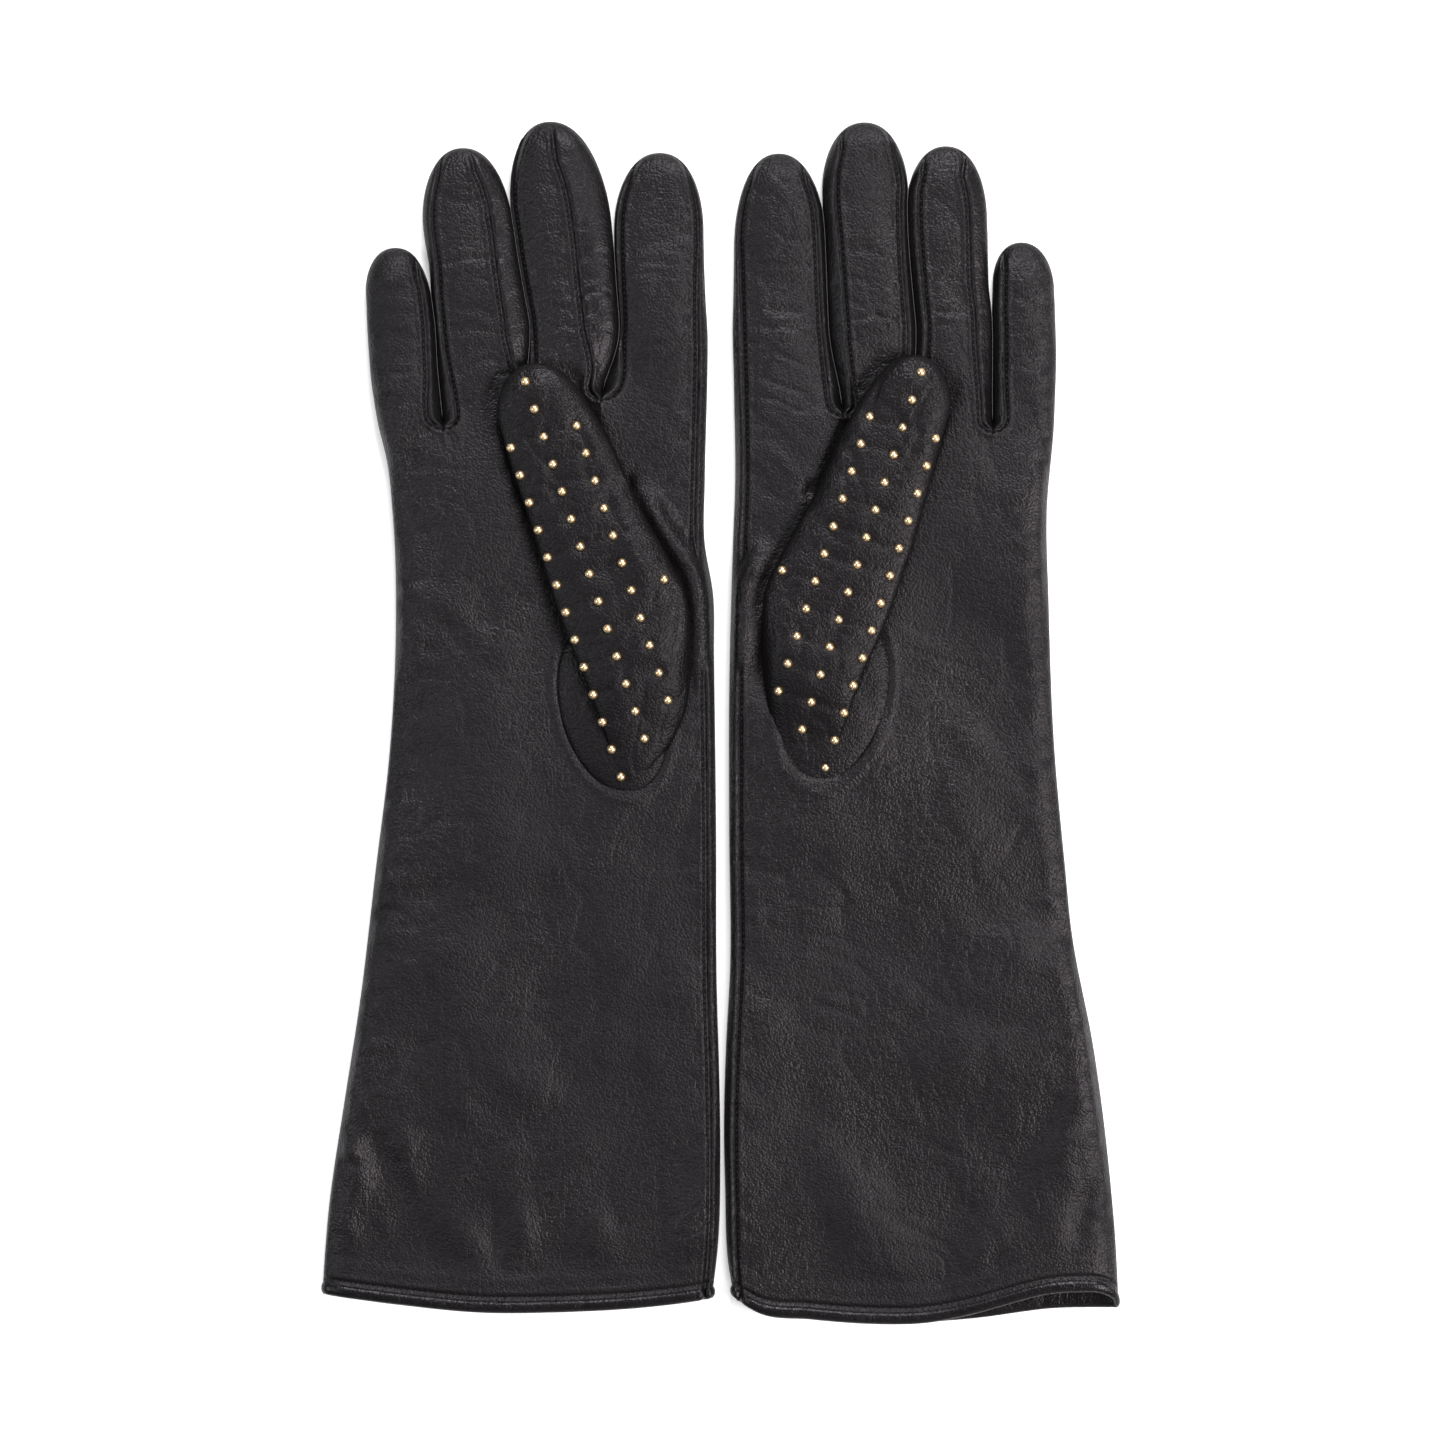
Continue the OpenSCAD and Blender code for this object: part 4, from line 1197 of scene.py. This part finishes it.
# The low oval of leather that the thumb is sewn to
def buildRoot(side):
    glove = skins[side]["glove"]
    thumb = glove.thumb
    root = thumb.data["root"]
    rings, turns = 14, 72
    rho = np.concatenate([np.linspace(0.15, 0.9, rings - 4), [0.94, 0.97, 0.99, 1.0]])
    angle = np.linspace(0, 2 * math.pi, turns, endpoint=False)
    a = rho[:, None] * np.cos(angle) * root["reach"][0]
    b = rho[:, None] * np.sin(angle) * root["reach"][1]
    x = root["centre"][0] + a * math.cos(root["turn"]) - b * math.sin(root["turn"])
    s = root["centre"][1] + a * math.sin(root["turn"]) + b * math.cos(root["turn"])
    r = np.repeat(rho[:, None], turns, 1)
    z = thumbShape["palm"] - 0.5 + thumbShape["rootHeight"] * np.sqrt(np.maximum(1 - r**3, 0))
    z = z + 0.3 * waves(x / 5, s / 7, glove.seed + 60) * (1 - r**4)
    u, y = thumb.toPlan(x, s)
    outer = np.stack([thumb.sign * u, y, z], axis=-1).reshape(-1, 3)
    middle = outer[:turns].mean(axis=0, keepdims=True)
    places = np.concatenate([outer, middle])
    index = np.arange(rings * turns).reshape(rings, turns)
    index = np.concatenate([index, index[:, :1]], axis=1)
    blocks = [gridFaces(index, thumb.sign > 0)]
    fan = np.stack([index[0, 1:], index[0, :-1], np.full(turns, len(outer))], axis=-1)
    blocks.append(fan if thumb.sign > 0 else fan[:, ::-1])
    normals = vertexNormals(places, blocks)
    if normals[:, 2].mean() < 0:
        blocks = [block[:, ::-1] for block in blocks]
        normals = -normals
    piece = makePiece(side + "_thumb_root_leather", places, normals, blocks, 0.7, "thumb_leather")
    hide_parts(side + "_thumb_root")
    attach(piece, side + "_hand")


thumbSkins = {}
for gloveSide in gloves:
    thumbSkins[gloveSide] = buildThumb(gloveSide)
    buildRoot(gloveSide)
print("thumbs made")


# Section of the binding as (outward, up) in mm, from the front edge round the hem to the inner side
hem = {
    "roll": [(-0.8, 0.45), (-0.1, 0.4), (0.3, 0.1), (0.52, -0.6), (0.55, -1.5), (0.38, -2.3), (-0.1, -2.85),
             (-0.7, -3.0), (-1.25, -2.7), (-1.55, -2.0), (-1.62, -0.8), (-1.62, 3.0), (-1.62, 8.0),
             (-1.0, 8.0), (-0.95, 3.5)],
    "stitchUp": 1.5, "stitchPitch": 1.65,
}


def hemLoop(skin):
    front = list(dict.fromkeys(skin["hemFront"].tolist()))
    back = list(dict.fromkeys(skin["hemBack"].tolist()))
    return front + back[::-1][1:-1]


def buildBinding(side):
    skin = skins[side]
    loop = hemLoop(skin)
    points, outward = skin["places"][loop], skin["normals"][loop].copy()
    outward[:, 1] = 0
    outward /= np.linalg.norm(outward, axis=1, keepdims=True)
    gather = 0.18 * waves(points[:, 0] / 2.2, points[:, 2], skin["glove"].seed + 70)
    rings = []
    for out, up in hem["roll"]:
        loose = 1.0 if up > -2 and out < -1 else 0.3
        ring = points + outward * (out + loose * gather)[:, None]
        ring[:, 1] += up
        ring[:, 2] = np.maximum(ring[:, 2], 0.02)
        rings.append(ring)
    places = np.stack(rings, axis=1)
    n, m = places.shape[:2]
    index = np.arange(n * m).reshape(n, m)
    index = np.concatenate([index, index[:1]], axis=0)
    index = np.concatenate([index, index[:, :1]], axis=1)
    flat = places.reshape(-1, 3)
    blocks = [gridFaces(index, False)]
    normals = vertexNormals(flat, blocks)
    outside = (normals.reshape(n, m, 3)[:, 4] * outward).sum()
    if outside < 0:
        blocks = [blocks[0][:, ::-1]]
    mesh = bpy.data.meshes.new(side + "_hem_binding_leather")
    mesh.from_pydata((flat * mm).tolist(), [], blocks[0].tolist())
    mesh.polygons.foreach_set("use_smooth", np.ones(len(mesh.polygons), bool))
    piece = newPiece(mesh.name, mesh, "binding_leather")
    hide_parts(side + "_hem_binding")
    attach(piece, side + "_sleeve")


lining = {"inset": 1.15, "thickness": 0.25, "sag": 1.9, "top": 78.0, "rowStep": 3.0}


# Cloth inside the glove, from the facing to the palm, a little inside the leather
def buildLining(side):
    skin = skins[side]
    glove = skin["glove"]
    inset, thickness = lining["inset"], lining["thickness"]
    rows = spread(rowPlan["hem"] + 5, lining["top"], lining["rowStep"])
    u0, u1 = glove.innerEdge(rows), glove.outerEdge(rows)
    around = np.linspace(0, 2 * math.pi, 72, endpoint=False)
    cosine, sine = np.cos(around), np.sin(around)
    # a flattened ring: straight across, rounded at both sides
    across = np.sign(cosine) * np.abs(cosine) ** 0.8
    full = lieHeight(rows)
    middle = 0.42 * full
    deep = np.abs(sine) ** 0.35 * np.sign(sine)
    u = (u0 + u1)[:, None] / 2 + ((u1 - u0)[:, None] / 2 - inset - 0.6) * across[None, :]
    above = (full - middle)[:, None] - inset - lining["sag"]
    up = np.where(deep > 0, above, middle[:, None] - inset)
    z = middle[:, None] + up * deep[None, :]
    b = np.repeat(rows[:, None], len(around), 1)
    y = b + glove.hemLift(u, b, False)
    z = z + 0.12 * waves(u / 9, y / 12, glove.seed + 80) * (deep > 0.3)
    places = np.stack([glove.sign * u, y, z], axis=-1).reshape(-1, 3)
    index = np.arange(z.size).reshape(z.shape)
    index = np.concatenate([index, index[:, :1]], axis=1)
    blocks = [gridFaces(index, glove.sign < 0)]
    normals = vertexNormals(places, blocks)
    if (normals[:, 2] * (places[:, 2] - middle.mean())).sum() < 0:
        blocks, normals = [blocks[0][:, ::-1]], -normals
    piece = makePiece(side + "_lining_cloth", places, normals, blocks, thickness, "lining_cloth")
    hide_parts(side + "_sleeve_lining", side + "_hand_lining")
    wristBlend(piece)


for gloveSide in gloves:
    buildBinding(gloveSide)
    buildLining(gloveSide)
print("hems bound and gloves lined")


def deselectAll():
    for thing in bpy.context.selected_objects:
        thing.select_set(False)


# One stitch along X: a short thread that dips into the leather at both ends
def modelStitch():
    deselectAll()
    bpy.ops.mesh.primitive_cylinder_add(vertices=6, radius=0.17 * mm, depth=1.0 * mm, end_fill_type="TRIFAN",
                                        rotation=(0, math.pi / 2, 0))
    stitch = bpy.context.object
    bpy.ops.object.transform_apply(location=True, rotation=True, scale=True)
    bpy.ops.object.mode_set(mode="EDIT")
    bpy.ops.mesh.select_all(action="SELECT")
    bpy.ops.mesh.bisect(plane_co=(0.25 * mm, 0, 0), plane_no=(1, 0, 0))
    bpy.ops.mesh.select_all(action="SELECT")
    bpy.ops.mesh.bisect(plane_co=(-0.25 * mm, 0, 0), plane_no=(1, 0, 0))
    bpy.ops.object.mode_set(mode="OBJECT")
    for vertex in stitch.data.vertices:
        vertex.select = abs(vertex.co.x) > 0.4 * mm
    bpy.ops.object.mode_set(mode="EDIT")
    bpy.ops.transform.translate(value=(0, 0, -0.16 * mm))
    bpy.ops.mesh.select_all(action="SELECT")
    bpy.ops.mesh.normals_make_consistent(inside=False)
    bpy.ops.object.mode_set(mode="OBJECT")
    bpy.ops.object.shade_smooth()
    return stitch


# One stud: a domed head, its post through the leather and the washer behind it
def modelStud():
    deselectAll()
    bpy.ops.mesh.primitive_uv_sphere_add(segments=20, ring_count=12, radius=1.36 * mm)
    stud = bpy.context.object
    bpy.ops.object.mode_set(mode="EDIT")
    bpy.ops.mesh.select_all(action="SELECT")
    bpy.ops.mesh.bisect(plane_co=(0, 0, -0.12 * mm), plane_no=(0, 0, 1), clear_inner=True, use_fill=True)
    bpy.ops.object.mode_set(mode="OBJECT")
    bottom = min(vertex.co.z for vertex in stud.data.vertices)
    for face in stud.data.polygons:
        face.select = face.normal.z < -0.9 and face.center.z < bottom + 0.01 * mm
    bpy.ops.object.mode_set(mode="EDIT")
    bpy.ops.mesh.select_mode(type="FACE")
    bpy.ops.mesh.inset(thickness=0.75 * mm)
    bpy.ops.mesh.extrude_region_move(TRANSFORM_OT_translate={"value": (0, 0, -0.95 * mm)})
    bpy.ops.mesh.extrude_region_move(TRANSFORM_OT_translate={"value": (0, 0, 0)})
    bpy.ops.transform.resize(value=(2, 2, 1))
    bpy.ops.mesh.extrude_region_move(TRANSFORM_OT_translate={"value": (0, 0, -0.3 * mm)})
    bpy.ops.object.mode_set(mode="OBJECT")
    bpy.ops.object.shade_smooth_by_angle(angle=math.radians(40))
    return stud


# Copies of one model on the leather, joined as one piece
def layCopies(name, model, spots, slotName):
    source = model.data
    co = np.array([v.co for v in source.vertices])
    faces = [list(face.vertices) for face in source.polygons]
    flags = [face.use_smooth for face in source.polygons]
    allPlaces, allFaces = [], []
    for n, (place, along, up) in enumerate(spots):
        up = Vector(up).normalized()
        along = Vector(along)
        along = (along - up * along.dot(up)).normalized()
        side = up.cross(along)
        turn = np.array([along, side, up])
        allPlaces.append(co @ turn + np.array(place) * mm)
        allFaces += [[v + n * len(co) for v in face] for face in faces]
    mesh = bpy.data.meshes.new(name)
    mesh.from_pydata(np.concatenate(allPlaces).tolist(), [], allFaces)
    mesh.polygons.foreach_set("use_smooth", flags * len(spots))
    return newPiece(name, mesh, slotName)


def surfaceTree(*surfaces):
    places, faces, count = [], [], 0
    for surface in surfaces:
        places += surface["places"].tolist()
        for block in surface["blocks"]:
            faces += (block + count).tolist()
        count = len(places)
    return BVHTree.FromPolygons(places, faces)


# Places every pitch along a seam, shifted sideways by aside: (u, y, direction)
def alongSeam(u, y, pitch, aside):
    step = np.hypot(np.diff(u), np.diff(y))
    run = np.concatenate([[0], np.cumsum(step)])
    at = np.arange(pitch / 2, run[-1], pitch)
    pu, py = np.interp(at, run, u), np.interp(at, run, y)
    du, dy = np.gradient(pu), np.gradient(py)
    length = np.maximum(np.hypot(du, dy), 1e-9)
    return pu + aside * dy / length, py - aside * du / length, du / length, dy / length


stitching = {"pitch": 1.7, "aside": 0.62, "sink": 0.02}
stitchModel = modelStitch()
studModel = modelStud()


def stitchSpots(glove, tree, seam):
    spots = []
    for u, y, du, dy in zip(*seam):
        hit, normal, _, _ = tree.ray_cast(Vector((glove.sign * u, y, 40)), Vector((0, 0, -1)))
        if hit is None or normal.z < 0.15:
            continue
        place = hit + normal * stitching["sink"]
        spots.append((y, tuple(place), (glove.sign * du, dy, 0), tuple(normal)))
    return spots


def sewGlove(side):
    skin = skins[side]
    glove = skin["glove"]
    tree = surfaceTree(skin)
    handSpots = []
    for g, name in enumerate(fingerNames):
        fingerSpots = []
        for chain in skin["chains"]:
            if chain["finger"] != g:
                continue
            aside = stitching["aside"] * (1 if chain["way"] == "near" else -1)
            u, y = chain["u"], chain["y"]
            if chain["way"] == "near" and g == 0:
                y = y + glove.hemLift(u, y, True)
            below = y < glove.data["fingers"][g]["tip"][1] - 7
            seam = alongSeam(u[below], y[below], stitching["pitch"], aside)
            for spot in stitchSpots(glove, tree, seam):
                hidden = g == 0 and chain["way"] == "near" and 13 < spot[0] < 48
                if hidden:
                    continue
                onFinger = spot[0] > glove.data["fingers"][g]["cut"]
                (fingerSpots if onFinger else handSpots).append(spot)
        places = [spot[1:] for spot in fingerSpots]
        piece = layCopies(side + "_" + name + "_stitches", stitchModel, places, "thread")
        fingerBlend(piece)
    places = [spot[1:] for spot in handSpots]
    piece = layCopies(side + "_side_stitches", stitchModel, places, "thread")
    wristBlend(piece)
    # the row of stitches above the binding, on the front and the back
    hemSpots = []
    for ids, way in ((skin["hemFront"], 1), (skin["hemBack"], -1)):
        edge = skin["places"][list(dict.fromkeys(ids.tolist()))]
        u, y = edge[:, 0] * glove.sign, edge[:, 1] + hem["stitchUp"]
        for pu, py, du, dy in zip(*alongSeam(u, y, hem["stitchPitch"], 0)):
            hit, normal, _, _ = tree.ray_cast(Vector((glove.sign * pu, py, 40 * way)), Vector((0, 0, -way)))
            if hit is not None and normal.z * way > 0.3:
                hemSpots.append((tuple(hit), (glove.sign * du, dy, 0), tuple(normal)))
    piece = layCopies(side + "_hem_stitches_thread", stitchModel, hemSpots, "thread")
    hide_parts(side + "_hem_stitches")
    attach(piece, side + "_sleeve")


def setStuds(side):
    tree = surfaceTree(thumbSkins[side])
    spots = []
    for x, y in studCentres(side + "_thumb_studs") + studCentres(side + "_root_studs"):
        hit, normal, _, _ = tree.ray_cast(Vector((x, y, 40)), Vector((0, 0, -1)))
        if hit is None:
            print("no leather under a stud at", round(x, 1), round(y, 1))
            continue
        up = (normal + Vector((0, 0, 1.0))).normalized()
        spots.append((tuple(hit), (1, 0.3 * len(spots), 0), tuple(up)))
    piece = layCopies(side + "_studs_brass", studModel, spots, "stud_brass")
    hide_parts(side + "_thumb_studs", side + "_root_studs", side + "_stud_backs")
    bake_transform(piece)
    print(side, "glove:", len(spots), "studs set")


for gloveSide in gloves:
    sewGlove(gloveSide)
    setStuds(gloveSide)
for model in (stitchModel, studModel):
    bpy.data.objects.remove(model)
print("stitches and studs placed")


# In mm, but the floor's size in metres
view = {"width": 411.8, "distance": 1700.0, "shiftX": 0.7, "aim": 6.0, "sensor": 36.0, "floorSize": 6.0}
cameraData = bpy.data.cameras.new("camera")
camera = bpy.data.objects.new("camera", cameraData)
bpy.context.scene.collection.objects.link(camera)
camera.location = (view["shiftX"] * mm, 0, view["distance"] * mm)
cameraData.sensor_width = view["sensor"]
cameraData.lens = view["sensor"] * (view["distance"] - view["aim"]) / view["width"]
cameraData.clip_end = 50
bpy.context.scene.camera = camera

bpy.ops.mesh.primitive_plane_add(size=view["floorSize"], location=(0, 0, -0.0004))
floor = bpy.context.object
floor.name = "floor"
floorMaterial = bpy.data.materials.new("floor")
floorMaterial.use_nodes = True
floorShader = floorMaterial.node_tree.nodes["Principled BSDF"]
floorShader.inputs["Base Color"].default_value = (0.93, 0.93, 0.94, 1)
floorShader.inputs["Roughness"].default_value = 0.9
floorShader.inputs["Specular IOR Level"].default_value = 0.1
floorShader.inputs["Emission Color"].default_value = (1, 1, 1, 1)
floorShader.inputs["Emission Strength"].default_value = 0.42
floor.data.materials.append(floorMaterial)

# Places and sizes in metres, power in watts
lights = {
    "left": {"at": (-1.1, -0.1, 1.15), "size": 0.5, "power": 7.5, "tint": (0.97, 0.98, 1.0)},
    "right": {"at": (0.95, -0.25, 1.05), "size": 0.6, "power": 20, "tint": (1.0, 0.95, 0.96)},
    "head": {"at": (0.2, 1.3, 1.3), "size": 0.55, "power": 29, "tint": (1.0, 1.0, 1.0)},
    "foot": {"at": (0.2, -1.5, 1.0), "size": 1.0, "power": 3, "tint": (1.0, 0.98, 0.97)},
}
for lightName, values in lights.items():
    lamp = bpy.data.lights.new(lightName, "AREA")
    lamp.size = values["size"]
    lamp.energy = values["power"]
    lamp.color = values["tint"]
    light = bpy.data.objects.new(lightName, lamp)
    light.location = values["at"]
    light.rotation_euler = Vector(values["at"]).to_track_quat("Z", "Y").to_euler()
    bpy.context.scene.collection.objects.link(light)
world = bpy.data.worlds.new("studio")
bpy.context.scene.world = world
world.use_nodes = True
sky = world.node_tree.nodes["Background"]
seen = addNode(world.node_tree, "ShaderNodeLightPath", (-500, 0))
level = addNode(world.node_tree, "ShaderNodeMixRGB", (-250, 0))
level.inputs["Color1"].default_value = (0.07, 0.07, 0.073, 1)
level.inputs["Color2"].default_value = (0.95, 0.95, 0.96, 1)
world.node_tree.links.new(seen.outputs["Is Camera Ray"], level.inputs["Fac"])
world.node_tree.links.new(level.outputs[0], sky.inputs["Color"])
bpy.context.scene.view_settings.view_transform = "Standard"
print("camera, light and floor set")
